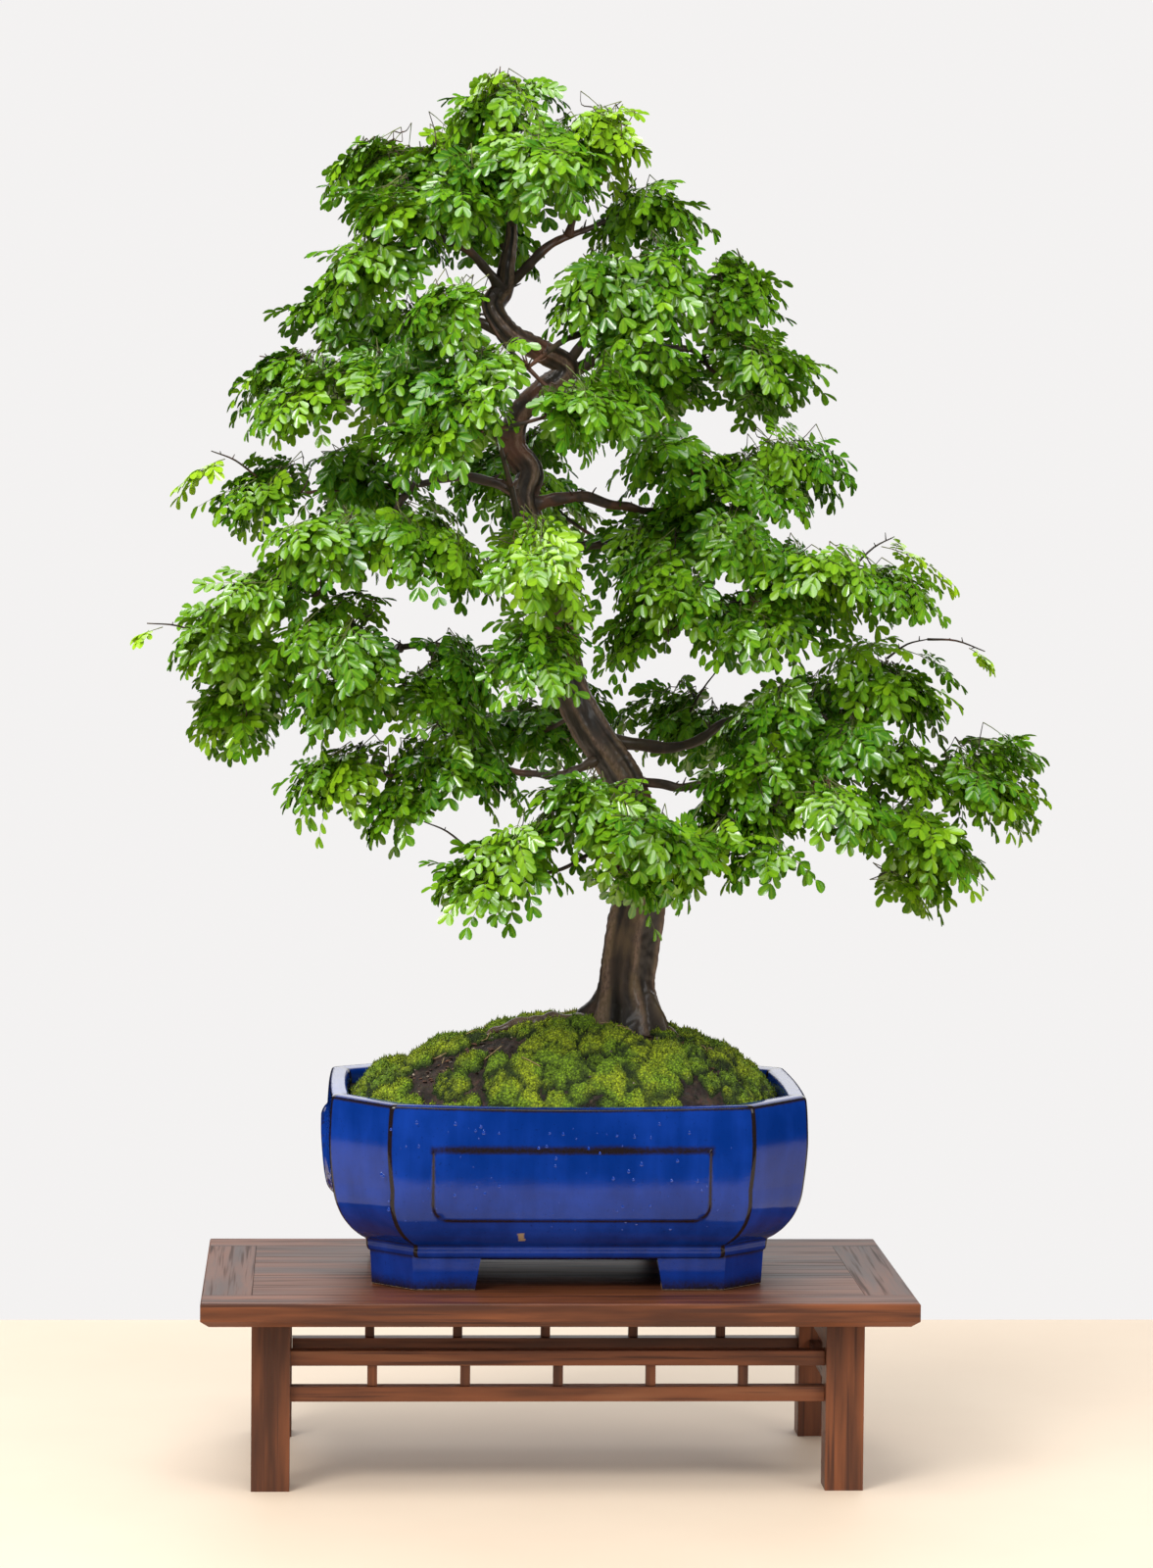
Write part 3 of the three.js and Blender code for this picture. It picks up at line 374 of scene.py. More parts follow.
# Long bare sprigs: the spray, the foot, the tip, and the freshness of the leaf at the tip, or -1 for none
SPRIGS = (
    ("mid_left_back", (-258, 88, 848), (-300, 82, 872), 0.8),
    ("left_outer", (-300, 0, 712), (-352, -6, 724), 0.95),
    ("crown_right", (35, 40, 1056), (66, 34, 1110), -1),
    ("apex", (-53, 5, 1141), (-28, -1, 1184), -1),
    ("right_outer", (282, -20, 699), (316, -26, 716), -1),
    ("right_outer", (316, -26, 716), (366, -26, 706), 1.0),
    ("right_high", (248, -50, 777), (283, -56, 804), 0.7),
    ("right_back", (119, 110, 638), (149, 104, 686), -1),
    ("low_left", (-75, -36, 533), (-115, -42, 558), -1),
    ("upper_left", (-222, 60, 940), (-258, 54, 954), 0.5),
    ("left_outer", (-246, -30, 724), (-278, -34, 760), -1),
    ("crown_left", (-122, 26, 1066), (-96, 24, 1112), -1),
)


def colour(name, description, default):
    """A colour that the user may change."""
    return FloatVectorProperty(name=name, description=description, subtype="COLOR", default=default)


class StandSettings(bpy.types.PropertyGroup):
    """Colours of the walnut stand."""

    brown: colour("Walnut", "The timber's middle brown", (0.205, 0.06, 0.018))
    dark: colour("Grain", "The timber's dark grain", (0.066, 0.019, 0.007))
    pale: colour("Sapwood", "The timber's pale streaks", (0.33, 0.145, 0.065))


class PotSettings(bpy.types.PropertyGroup):
    """Colours of the glaze."""

    blue: colour("Glaze", "The glaze's deep blue", (0.0012, 0.021, 0.165))
    edge: colour("Edge", "The glaze where it thins on an edge", (0.012, 0.008, 0.008))
    clay: colour("Clay", "The bare clay under the feet", (0.34, 0.24, 0.14))


class GroundSettings(bpy.types.PropertyGroup):
    """Colours of the soil and the moss."""

    soil: colour("Soil", "Damp soil", (0.022, 0.013, 0.009))
    moss: colour("Moss", "Moss in the light", (0.25, 0.43, 0.012))
    # The moss's painted shade colour, used in its hollows and the creases between cushions
    moss_painted_shade: colour("Moss shade", "Moss in its hollows", (0.016, 0.032, 0.003))


class TreeSettings(bpy.types.PropertyGroup):
    """Colours and sizes of the tree."""

    bark: colour("Bark", "Grey brown bark", (0.072, 0.042, 0.025))
    # The darker bark colour of the stem's flutes
    bark_dark: colour("Bark shade", "Damp dark bark", (0.014, 0.0095, 0.0065))
    leaf: colour("Leaf", "Full-grown leaflet", (0.049, 0.182, 0.006))
    fresh: colour("Fresh leaf", "New leaflet", (0.32, 0.55, 0.012))
    leaflet: FloatProperty(
        name="Leaflet", description="Length of a large leaflet", default=0.0112, unit="LENGTH"
    )
    leaf_spacing: FloatProperty(
        name="Leaf spacing", description="Side of the pad area, seen from the front, that holds one leaf",
        default=0.0096, min=0.004, unit="LENGTH"
    )


class Wire:
    """A shader socket that carries a value. Its operators add Math nodes."""

    def __init__(self, tree, socket):
        self.tree = tree
        self.socket = socket

    def math(self, operation, *others):
        """The outcome of one Math node on this value and others, which are values or numbers."""
        node = self.tree.nodes.new("ShaderNodeMath")
        node.operation = operation
        self.tree.links.new(self.socket, node.inputs[0])
        for place, other in enumerate(others, 1):
            if isinstance(other, Wire):
                self.tree.links.new(other.socket, node.inputs[place])
            else:
                node.inputs[place].default_value = other
        return Wire(self.tree, node.outputs[0])

    def __add__(self, other):
        return self.math("ADD", other)

    __radd__ = __add__

    def __mul__(self, other):
        return self.math("MULTIPLY", other)

    __rmul__ = __mul__

    def __sub__(self, other):
        return self.math("SUBTRACT", other)

    def __rsub__(self, other):
        return (self * -1.0) + other

    def clamp(self):
        return self.math("MAXIMUM", 0.0).math("MINIMUM", 1.0)

    def step(self, low, high):
        """Rises smoothly from 0 to 1 between low and high."""
        share = ((self - low) * (1.0 / (high - low))).clamp()
        return share * share * (3.0 - 2.0 * share)


class Finish:
    """A material built from nodes around one surface shader."""

    def __init__(self, name, **surface):
        self.material = bpy.data.materials.new(name)
        self.material.use_nodes = True
        self.tree = self.material.node_tree
        self.surface = self.tree.nodes["Principled BSDF"]
        for socket, value in surface.items():
            self.set(socket.replace("_", " "), value)

    def set(self, socket, value):
        """Gives the surface shader's socket a value or a link."""
        if isinstance(value, Wire):
            self.tree.links.new(value.socket, self.surface.inputs[socket])
        else:
            self.surface.inputs[socket].default_value = value

    def node(self, kind, output=0, settings=None, stops=None, **inputs):
        """Adds a node. Its settings and ramp stops come first, then its sockets' values or links."""
        node = self.tree.nodes.new("ShaderNode" + kind)
        for name, value in (settings or {}).items():
            setattr(node, name, value)
        if stops:
            ramp = node.color_ramp.elements
            while len(ramp) < len(stops):
                ramp.new(0.5)
            for element, (place, colour) in zip(ramp, stops):
                element.position = place
                element.color = (*colour, 1.0)
        for name, value in inputs.items():
            socket = node.inputs[int(name[1:])] if name[0] == "i" and name[1:].isdigit() else None
            socket = socket or node.inputs[name.replace("_", " ")]
            if isinstance(value, Wire):
                self.tree.links.new(value.socket, socket)
            elif value is not None:
                socket.default_value = value
        return Wire(self.tree, node.outputs[output])

    def place(self, scale=(1, 1, 1), move=(0, 0, 0)):
        """Object coordinates, moved and scaled."""
        here = self.node("TexCoord", output=3)
        return self.node("Mapping", Vector=here, Location=move, Scale=scale)

    def noise(self, vector, scale, detail=3.0, roughness=0.5, distortion=0.0):
        """Noise in space around 0.5."""
        return self.node(
            "TexNoise", Vector=vector, Scale=scale, Detail=detail, Roughness=roughness, Distortion=distortion
        )

    def attribute(self, name):
        """A number that the mesh holds at each point."""
        return self.node("Attribute", output=2, settings={"attribute_name": name})

    def mix(self, share, first, second, blend="MIX"):
        """A colour between two colours or links."""
        first = first if isinstance(first, Wire) else (*first, 1.0)
        second = second if isinstance(second, Wire) else (*second, 1.0)
        settings = {"data_type": "RGBA", "blend_type": blend}
        return self.node("Mix", output=2, settings=settings, i0=share, i6=first, i7=second)

    def bump(self, height, distance, strength=1.0, normal=None):
        """Tilts the surface by a height between 0 and 1 times a distance in metres."""
        tilt = self.node("Bump", Height=height, Distance=distance, Strength=strength, Normal=normal)
        self.set("Normal", tilt)


def speckled(name, roughness, grain, colours, band=None):
    """A plain finish between two colours by noise.

    grain is the noise's scale, detail and roughness, and band the range where one colour gives way.
    """
    finish = Finish(name, Roughness=roughness)
    tone = finish.noise(finish.place(), *grain)
    finish.set("Base Color", finish.mix(tone.step(*band) if band else tone, *colours))
    return finish


def scaled(shade, *factors):
    """A colour with its red, green and blue multiplied, by one factor or by three."""
    return tuple(c * k for c, k in zip(shade, factors * 3 if len(factors) == 1 else factors))


def here(points):
    """Millimetres from the stand's middle on its floor, as metres in the model's frame."""
    points = np.asarray(points, float) * MM
    points[..., 0] += STAND_X
    points[..., 1] += STAND_Y
    return points


def on_stand(points):
    """Moves points from the pot's own frame to its place on the stand, in millimetres."""
    return points + np.array([*POT_PLACE, STAND_TOP / MM])


def over_pot(x, y, z):
    """Points from places about the pot's middle and heights above the stand's floor, in millimetres."""
    return np.stack([x + POT_PLACE[0], y + POT_PLACE[1], z], axis=-1)


def new_mesh(name, points, faces, smooth=True, values=None):
    """A mesh object at the origin from arrays of points and faces, with optional attributes by point."""
    mesh = bpy.data.meshes.new(name)
    faces = np.asarray(faces, np.int32)
    mesh.vertices.add(len(points))
    mesh.vertices.foreach_set("co", np.asarray(points, np.float32).ravel())
    mesh.loops.add(faces.size)
    mesh.loops.foreach_set("vertex_index", faces.ravel())
    mesh.polygons.add(len(faces))
    starts = np.arange(0, faces.size, faces.shape[1], dtype=np.int32)
    mesh.polygons.foreach_set("loop_start", starts)
    mesh.polygons.foreach_set("use_smooth", np.full(len(faces), smooth, bool))
    for attribute, data in (values or {}).items():
        layer = mesh.attributes.new(attribute, "FLOAT", "POINT")
        layer.data.foreach_set("value", np.asarray(data, np.float32).ravel())
    mesh.update(calc_edges=True)
    mesh.validate()
    made = bpy.data.objects.new(name, mesh)
    bpy.context.scene.collection.objects.link(made)
    return made


def dress(piece, finish, slot, *nodes):
    """Gives a piece its material and its body, and hides the model's nodes that it stands for. The slot is
    not used.
    """
    piece.data.materials.clear()
    piece.data.materials.append(finish.material)
    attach(piece, "root")
    if nodes:
        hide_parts(*nodes)


def grid_faces(rows, columns, wrap=True):
    """The quads of a grid of points, rows by columns; wrap closes each row on itself."""
    row, column = np.meshgrid(np.arange(rows - 1), np.arange(columns if wrap else columns - 1), indexing="ij")
    following = (column + 1) % columns
    quads = [row * columns + column, row * columns + following]
    quads += [(row + 1) * columns + following, (row + 1) * columns + column]
    return np.stack(quads, axis=-1).reshape(-1, 4)


def smooth_path(points, count):
    """Points along a Catmull-Rom curve through the given points, evenly spaced in its parameter."""
    points = np.asarray(points, float)
    padded = np.vstack([2 * points[0] - points[1], points, 2 * points[-1] - points[-2]])
    t = np.linspace(0, len(points) - 1, count)
    k = np.clip(t.astype(int), 0, len(points) - 2)
    u = (t - k)[:, None]
    a, b, c, d = (padded[k + i] for i in range(4))
    return 0.5 * (2 * b + (c - a) * u + (2 * a - 5 * b + 4 * c - d) * u**2 + (3 * b - a - 3 * c + d) * u**3)


def frames_along(path):
    """Two directions square to a path at each of its points, turning as little as they can."""
    ahead = np.gradient(path, axis=0)
    ahead /= np.linalg.norm(ahead, axis=1, keepdims=True)
    side = np.empty_like(path)
    guess = np.array([0.0, 1.0, 0.0]) if abs(ahead[0, 1]) < 0.9 else np.array([1.0, 0.0, 0.0])
    side[0] = np.cross(ahead[0], guess)
    side[0] /= np.linalg.norm(side[0])
    for i in range(1, len(path)):
        carried = side[i - 1] - ahead[i] * np.dot(side[i - 1], ahead[i])
        side[i] = carried / np.linalg.norm(carried)
    return side, np.cross(ahead, side)


def tube(path, radius, sides):
    """A closed tube: rings of points square to the path at the given radius, its ends drawn to a point.

    radius is one number for each point of the path, or an array of path by sides.
    """
    side, other = frames_along(path)
    angle = np.linspace(0, 2 * np.pi, sides, endpoint=False)
    radius = np.asarray(radius, float)
    radius = radius[:, None] if radius.ndim == 1 else radius
    ring = np.cos(angle)[None, :, None] * side[:, None] + np.sin(angle)[None, :, None] * other[:, None]
    points = path[:, None] + ring * radius[..., None]
    points = np.concatenate([path[:1, None] + 0 * points[:1], points, path[-1:, None] + 0 * points[-1:]])
    return points.reshape(-1, 3), grid_faces(len(path) + 2, sides)


def normalised(vectors):
    """The same directions with length one."""
    return vectors / np.maximum(np.linalg.norm(vectors, axis=-1, keepdims=True), 1e-9)


def joined(parts):
    """Several (points, faces) as one pair of arrays."""
    offsets = np.cumsum([0] + [len(points) for points, _ in parts[:-1]])
    points = np.concatenate([points for points, _ in parts])
    faces = np.concatenate([faces + offset for (_, faces), offset in zip(parts, offsets)])
    return points, faces


def copied(faces, count, corners):
    """The faces of many copies of one shape, whose points follow each other."""
    return ((np.arange(count) * corners)[:, None, None] + faces[None]).reshape(-1, faces.shape[1])


def waves(points, seed, count, size):
    """Soft seeded noise between about -1 and 1: sine waves of about one size, in random directions, added."""
    draw = np.random.default_rng(seed)
    directions = draw.normal(size=(count, points.shape[-1]))
    directions /= np.linalg.norm(directions, axis=1, keepdims=True)
    rates = 2 * np.pi / size * draw.uniform(0.7, 1.5, count)
    phases = draw.uniform(0, 2 * np.pi, count)
    total = np.zeros(points.shape[:-1])
    for direction, rate, phase in zip(directions, rates, phases):
        total += np.sin(points @ direction * rate + phase)
    return total / math.sqrt(count)


# The stand

def walnut(name, along, seed, settings):
    """Oiled walnut whose grain runs along one axis: stretched noise for the figure and fine dark pores."""
    finish = Finish(name, Roughness=0.42, Specular_IOR_Level=0.4, Coat_Weight=0.08, Coat_Roughness=0.3)
    draw = np.random.default_rng(seed)
    move = tuple(draw.uniform(-3, 3, 3))
    figure_scale, streak_scale, pore_scale = [16.0] * 3, [64.0] * 3, [260.0] * 3
    figure_scale[along], streak_scale[along], pore_scale[along] = 1.5, 6.0, 6.0
    figure = finish.noise(finish.place(tuple(figure_scale), move), 1.0, 4.0, 0.6, 0.9)
    streaks = finish.noise(finish.place(tuple(streak_scale), move), 1.0, 3.0, 0.6)
    pores = finish.noise(finish.place(tuple(pore_scale), move), 1.0, 2.0, 0.6)
    share = (figure * 0.5 + streaks * 0.5).step(0.38, 0.62)
    brown = finish.mix(share, settings.dark, settings.brown)
    pale = (figure - 0.62) * 6.0
    brown = finish.mix(pale.clamp() * 0.55, brown, settings.pale)
    dots = pores.step(0.32, 0.5)
    tone = 0.8 + 0.35 * float(draw.uniform())
    brown = finish.mix(1.0, brown, (tone, tone, tone), "MULTIPLY")
    brown = finish.mix(dots, settings.dark, brown)
    finish.set("Base Color", brown)
    finish.set("Roughness", 0.4 + 0.2 * (1.0 - dots) + 0.14 * streaks)
    eased = finish.node("Bevel", settings={"samples": 4}, Radius=0.0009)
    finish.bump(dots * 0.6 + streaks * 0.4, 0.00025, 0.5, eased)
    return finish


class BONSAI_OT_stand(bpy.types.Operator):
    """Gives every piece of the stand its own cut of walnut, with the grain along the piece."""

    bl_idname = "bonsai.stand"
    bl_label = "Stand"

    def execute(self, context):
        settings = context.scene.bonsai_stand
        parts = [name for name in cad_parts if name.startswith(("top_", "leg_", "rail_", "spindle_"))]
        for seed, name in enumerate(sorted(parts)):
            low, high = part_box(name)
            along = int(np.argmax(np.array(high) - np.array(low)))
            finish = walnut("walnut_" + name, along, seed, settings)
            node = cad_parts[name]
            node.data.materials.clear()
            node.data.materials.append(finish.material)
        return {"FINISHED"}


# The pot

def pot_ring(half_x, half_y, corner, bow, ease, straight, arc, mark=None):
    """The pot's outline: a rectangle with cut corners, bowed sides and its eight corners eased by arcs.

    A side bows out by a parabola, and an arc is a quadratic curve about its corner. The long sides get five
    close points around the distance mark from their middle, where a panel's upright edge runs. The points
    go counter-clockwise as seen from above. Returns them and the distance of each from the nearest corner.
    """
    cx, cy = half_x - corner, half_y - corner
    corners = np.array([
        (-cx, -half_y), (cx, -half_y), (half_x, -cy), (half_x, cy),
        (cx, half_y), (-cx, half_y), (-half_x, cy), (-half_x, -cy),
    ])
    points, edges = [], []
    for i in range(8):
        start, end = corners[i], corners[(i + 1) % 8]
        after = corners[(i + 2) % 8]
        length = np.linalg.norm(end - start)
        direction = (end - start) / length
        outward = np.array([direction[1], -direction[0]])
        swell = {0: bow, 4: bow, 2: bow / 2, 6: bow / 2}.get(i, 0.0)
        steps = straight if i % 2 == 0 else max(6, straight // 3)
        t = np.linspace(ease / length, 1 - ease / length, steps)
        if mark is not None and i in (0, 4):
            share = min(mark / length, 0.46)
            close = np.linspace(-2.6, 2.6, 5) / length
            t = np.sort(np.concatenate([t, 0.5 - share + close, 0.5 + share + close]))
        line = start + t[:, None] * (end - start) + outward * (swell * 4 * t * (1 - t))[:, None]
        points.append(line)
        edges.append(np.minimum(t, 1 - t) * length)
        into = end - direction * ease
        turned = (after - end) / np.linalg.norm(after - end)
        out = end + turned * ease
        u = np.linspace(0, 1, arc + 2)[1:-1, None]
        points.append((1 - u) ** 2 * into + 2 * u * (1 - u) * end + u**2 * out)
        edges.append(np.zeros(arc))
    return np.concatenate(points), np.concatenate(edges)


def pot_section(height):
    """The pot's half width and half depth at a height up its outer wall."""
    heights, half_x, half_y = np.array(BELLY[:RIM_ROW], float).T
    return np.interp(height, heights, half_x), np.interp(height, heights, half_y)


def pot_surface():
    """The pot's body: its outline carried up the wall's profile, over the rim and down inside.

    The panels swell out of the long faces by a smooth step of the distance inside their edge, and the
    bosses out of the short faces as flattened ellipses. The rim rises by the square of the way from the
    middle. Returns the grid of points and, for each, its distance from the nearest edge or line, where the
    glaze thins.
    """
    profile = smooth_path(BELLY, 190)
    rows, thin = [], []
    for height, half_x, half_y in profile:
        corner = CORNER * (0.7 + 0.3 * min(1.0, height / 90))
        bow = FRONT_BOW * min(1.0, max(0.0, (height - 40) / 50))
        ring, edge = pot_ring(half_x, half_y, corner, bow, EDGE_EASE, straight=44, arc=3, mark=PANEL_HALF)
        rows.append(np.column_stack([ring, np.full(len(ring), height)]))
        thin.append(edge)
    points = np.array(rows)
    thin = np.array(thin)
    outer = (np.arange(len(profile)) < int(np.argmax(profile[:, 0])))[:, None]
    x, y, z = points[..., 0], points[..., 1], points[..., 2]
    inside_x = PANEL_HALF - np.abs(x)
    inside_z = np.minimum(z - PANEL_LOW, PANEL_HIGH - z)
    from_side = np.maximum(0, PANEL_CORNER - inside_x)
    from_below = np.maximum(0, PANEL_CORNER - (z - PANEL_LOW))
    inside = np.minimum(np.minimum(inside_x, inside_z), PANEL_CORNER - np.hypot(from_side, from_below))
    face = outer & (np.abs(y) > np.abs(points[:, :1, 1]) - 1.5)
    raised = np.clip((inside + PANEL_SLOPE) / (2 * PANEL_SLOPE), 0, 1)
    raised = raised * raised * (3 - 2 * raised) * face
    boss = 1 - (y / MEDALLION_HALF[0]) ** 2 - ((z - MEDALLION_Z) / MEDALLION_HALF[1]) ** 2
    side = outer & (np.abs(x) > np.abs(points[..., 0]).max(axis=1, keepdims=True) - 3)
    boss = np.sqrt(np.clip(boss * 3.0, 0, 1)) * side
    points[..., 1] += np.sign(y) * PANEL_PROUD * raised
    points[..., 0] += np.sign(x) * MEDALLION_PROUD * boss
    near_rim = np.clip((z - RIM_START) / 38, 0, 1)
    points[..., 2] += near_rim * RIM_RISE * (x / RIM_REACH) ** 2
    z = points[..., 2]
    panel_edge = np.where(face, np.abs(inside) * np.where(z > PANEL_HIGH - 4, 0.45, 0.9), FAR)
    boss_edge = np.where(side & (boss < 0.9) & (boss > 0.02), 1.0, FAR)
    rim_edge = np.where(outer, np.abs(z - near_rim * RIM_RISE * (x / RIM_REACH) ** 2 - RIM_LINE) * 1.1, FAR)
    foot_edge = np.minimum(np.abs(z - 39.6) * 1.3 + 0.9, np.abs(z - 27.5) * 1.2 + 0.5)
    thin = np.minimum.reduce([thin, panel_edge, boss_edge, rim_edge, foot_edge])
    return points, thin


def foot_surface(sign_x, sign_y):
    """One bracket foot, at the corner that the two signs name.

    Its section is a tall box whose lower edge turns under. It is carried along a path of three straight
    lines, from the foot's inner end on the long side past the cut corner to its inner end on the short
    side, and its two ends slope. Their middles close it.
    """
    across = 26
    heights = np.array([0.3, 0.8, 2.0, 14.0, 26.0, FOOT_HEIGHT + 1.0])
    steps = np.linspace(0, 1, across)
    rows = []
    section = [(h, 0.0) for h in heights] + [(h, FOOT_THICK) for h in heights[::-1]]
    for height, depth in section:
        turned_under = 1.2 if height < 0.5 else 0.3 if height < 1 else 0.0
        flare = FOOT_HALF[0] + 1.5 * height / FOOT_HEIGHT - turned_under
        half_x, half_y = flare - depth, flare - (FOOT_HALF[0] - FOOT_HALF[1]) - depth
        corner = CORNER * 0.7 - depth * 0.586
        slope = FOOT_SLOPE * (0.5 - height / FOOT_HEIGHT)
        ends = (FOOT_INNER_X + slope, FOOT_INNER_Y + slope)
        knots = np.array([
            (ends[0], half_y), (half_x - corner, half_y), (half_x, half_y - corner), (half_x, ends[1]),
        ])
        walk = np.interp(steps, [0, 0.4, 0.6, 1], [0, 1, 2, 3])
        k = np.clip(walk.astype(int), 0, 2)
        line = knots[k] + (walk - k)[:, None] * (knots[k + 1] - knots[k])
        rows.append(np.column_stack([line[:, 0] * sign_x, line[:, 1] * sign_y, np.full(across, height)]))
    rows = np.array(rows)
    middle = rows.mean(axis=0, keepdims=True)
    columns = np.swapaxes(rows, 0, 1)
    caps = np.swapaxes(middle, 0, 1)
    ends = [np.repeat(cap, len(section), 1) for cap in (caps[:1], caps[-1:])]
    columns = np.concatenate([ends[0], columns, ends[1]])
    faces = grid_faces(across + 2, len(section))
    if sign_x * sign_y > 0:
        faces = faces[:, ::-1]
    return columns.reshape(-1, 3), faces


def glaze(settings):
    """Deep blue glaze, pooled in places, near black where it thins on edges, and clay where it is bare."""
    finish = Finish("blue_glaze", Roughness=0.07, Specular_IOR_Level=0.36)
    near = finish.place()
    cloud = finish.noise(near, 9.0, 4.0, 0.6)
    fine = finish.noise(near, 420.0, 3.0, 0.7)
    streak = finish.noise(finish.place((60.0, 60.0, 9.0)), 1.0, 3.0, 0.6)
    bright = tuple(c * 1.75 + 0.004 for c in settings.blue)
    colour = finish.mix((cloud * 0.7 + streak * 0.3).step(0.38, 0.7), settings.blue, bright)
    speck = (fine - 0.62).step(0.0, 0.08) * 0.5
    colour = finish.mix(speck, colour, scaled(settings.blue, 0.35))
    edge = finish.attribute("thin") + (fine - 0.5) * 1.8 + (cloud - 0.5) * 2.6
    colour = finish.mix(1.0 - edge.step(0.1, 2.3), colour, settings.edge)
    bare = finish.attribute("bare") + (fine - 0.5) * 0.8
    colour = finish.mix(bare.step(0.45, 0.7), colour, settings.clay)
    finish.set("Base Color", colour)
    finish.set("Roughness", 0.06 + 0.5 * bare.step(0.45, 0.7) + 0.05 * fine)
    finish.bump(streak * 0.5 + fine * 0.12 + cloud * 0.9, 0.0012, 0.35)
    return finish


def droplets(seed, count):
    """Water drops on the pot's long faces: domes flattened to 0.45 of their radius and drawn out upwards."""
    draw = np.random.default_rng(seed)
    rings, sides = 4, 9
    polar = np.linspace(0, np.pi / 2, rings + 1)[1:]
    turn = np.linspace(0, 2 * np.pi, sides, endpoint=False)
    parts = []
    for _ in range(count):
        height = draw.uniform(56, 148)
        half_x, half_y = pot_section(height)
        x = draw.uniform(-(half_x - CORNER + 8), half_x - CORNER - 8)
        raised = PANEL_PROUD * (abs(x) < PANEL_HALF and PANEL_LOW < height < PANEL_HIGH)
        bow = FRONT_BOW * min(1.0, (height - 40) / 50) * (1 - (x / (half_x - CORNER)) ** 2)
        sign = -1 if draw.uniform() < 0.8 else 1
        y = sign * (half_y + bow + raised)
        size = draw.uniform(0.5, 1.6)
        run = draw.uniform(1.0, 2.1)
        across = np.sin(polar)[:, None] * np.cos(turn)[None] * size
        up = np.sin(polar)[:, None] * np.sin(turn)[None] * size
        up = np.where(up > 0, up * run, up)
        across = across * (1 - 0.35 * np.clip(up / (size * run), 0, 1))
        out = np.cos(polar)[:, None] * size * 0.45 + 0 * across
        points = np.stack([x + across, y + sign * out, height + up], axis=-1).reshape(-1, 3)
        tip = np.array([[x, y + sign * size * 0.45, height]])
        points = np.vstack([np.repeat(tip, sides, 0), points])
        faces = grid_faces(rings + 1, sides)
        parts.append((points, faces if sign < 0 else faces[:, ::-1]))
    points, faces = joined(parts)
    return here(on_stand(points)), faces


class BONSAI_OT_pot(bpy.types.Operator):
    """Makes the glazed pot with its moulding, panels, bosses and feet, and the water drops on it."""

    bl_idname = "bonsai.pot"
    bl_label = "Pot"

    def execute(self, context):
        settings = context.scene.bonsai_pot
        points, thin = pot_surface()
        rows, columns = thin.shape
        faces = grid_faces(rows, columns)
        floor = np.array([[0.0, 0.0, BELLY[0][0]], [0.0, 0.0, BELLY[-1][0]]])
        body = np.vstack([points.reshape(-1, 3), floor])
        below, inside = len(body) - 2, len(body) - 1
        first = np.arange(columns)
        following = (first + 1) % columns
        last = (rows - 1) * columns
        under = np.column_stack([np.full(columns, below), following, first])
        inner = np.column_stack([np.full(columns, inside), last + first, last + following])
        triangles = np.vstack([faces[:, [0, 1, 2]], faces[:, [0, 2, 3]], under, inner])
        thin = np.append(thin.ravel(), [9.0, 9.0])
        chip = np.hypot(*((body[:, [0, 2]] - CHIP_PLACE) / CHIP_HALF).T)
        bare = ((chip < 1) & (body[:, 1] < 0)).astype(float)
        skin = glaze(settings)
        pot = new_mesh("glazed_pot", here(on_stand(body)), triangles, values={"thin": thin, "bare": bare})
        dress(pot, skin, "blue_glaze", "pot")
        feet, shapes = joined([foot_surface(sx, sy) for sx in (-1, 1) for sy in (-1, 1)])
        height = feet[:, 2]
        foot_bare = np.clip(1 - (height - 0.6) / 1.0, 0, 1)
        foot_thin = np.where((height > 27) | (height < 2.5), 0.6, 2.4)
        values = {"thin": foot_thin, "bare": foot_bare}
        base = new_mesh("pot_feet", here(on_stand(feet)), shapes, values=values)
        base.data.set_sharp_from_angle(angle=math.radians(35))
        dress(base, skin, "blue_glaze")
        water = Finish("water", Roughness=0.02, Coat_Weight=1.0, Coat_Roughness=0.01)
        water.set("Base Color", (*(c * 1.6 + 0.003 for c in settings.blue), 1.0))
        dress(new_mesh("water_drops", *droplets(seed=12, count=DROPS)), water, "blue_glaze")
        return {"FINISHED"}


# The soil and the moss

def mound_height(x, y):
    """The soil's dome, in millimetres above the floor, at places about the pot's middle.

    It falls from the middle by a superellipse in x and y, squarer on the right than on the left.
    """
    squareness = np.where(x < 0, MOUND_LEFT_SQUARENESS, MOUND_SQUARENESS)
    away = np.abs(x / HOLLOW_HALF[0]) ** squareness + np.abs(y / HOLLOW_HALF[1]) ** MOUND_SQUARENESS
    return STAND_TOP / MM + MOUND_EDGE + MOUND_RISE * np.maximum(0, 1 - away) ** 0.8


def mound_grid(rings, columns, inset):
    """Places over the pot's hollow: its outline drawn in towards the middle ring by ring.

    Returns them and each ring's share of the outline.
    """
    straight = (columns - 4 * 6) // 4
    outline, _ = pot_ring(HOLLOW_HALF[0] - inset, HOLLOW_HALF[1] - inset, MOUND_CORNER, 0.0, 1.0, straight, 1)
    share = np.linspace(1, 0.002, rings) ** 0.85
    return outline[None] * share[:, None, None], share


def closed_below(points, depth):
    """A grid of rings, closed by two more before its first: that ring lowered, then drawn to the middle."""
    skirt = points[0] - np.array([0, 0, depth])
    middle = skirt.copy()
    middle[:, :2] = POT_PLACE
    return np.concatenate([middle[None], skirt[None], points])


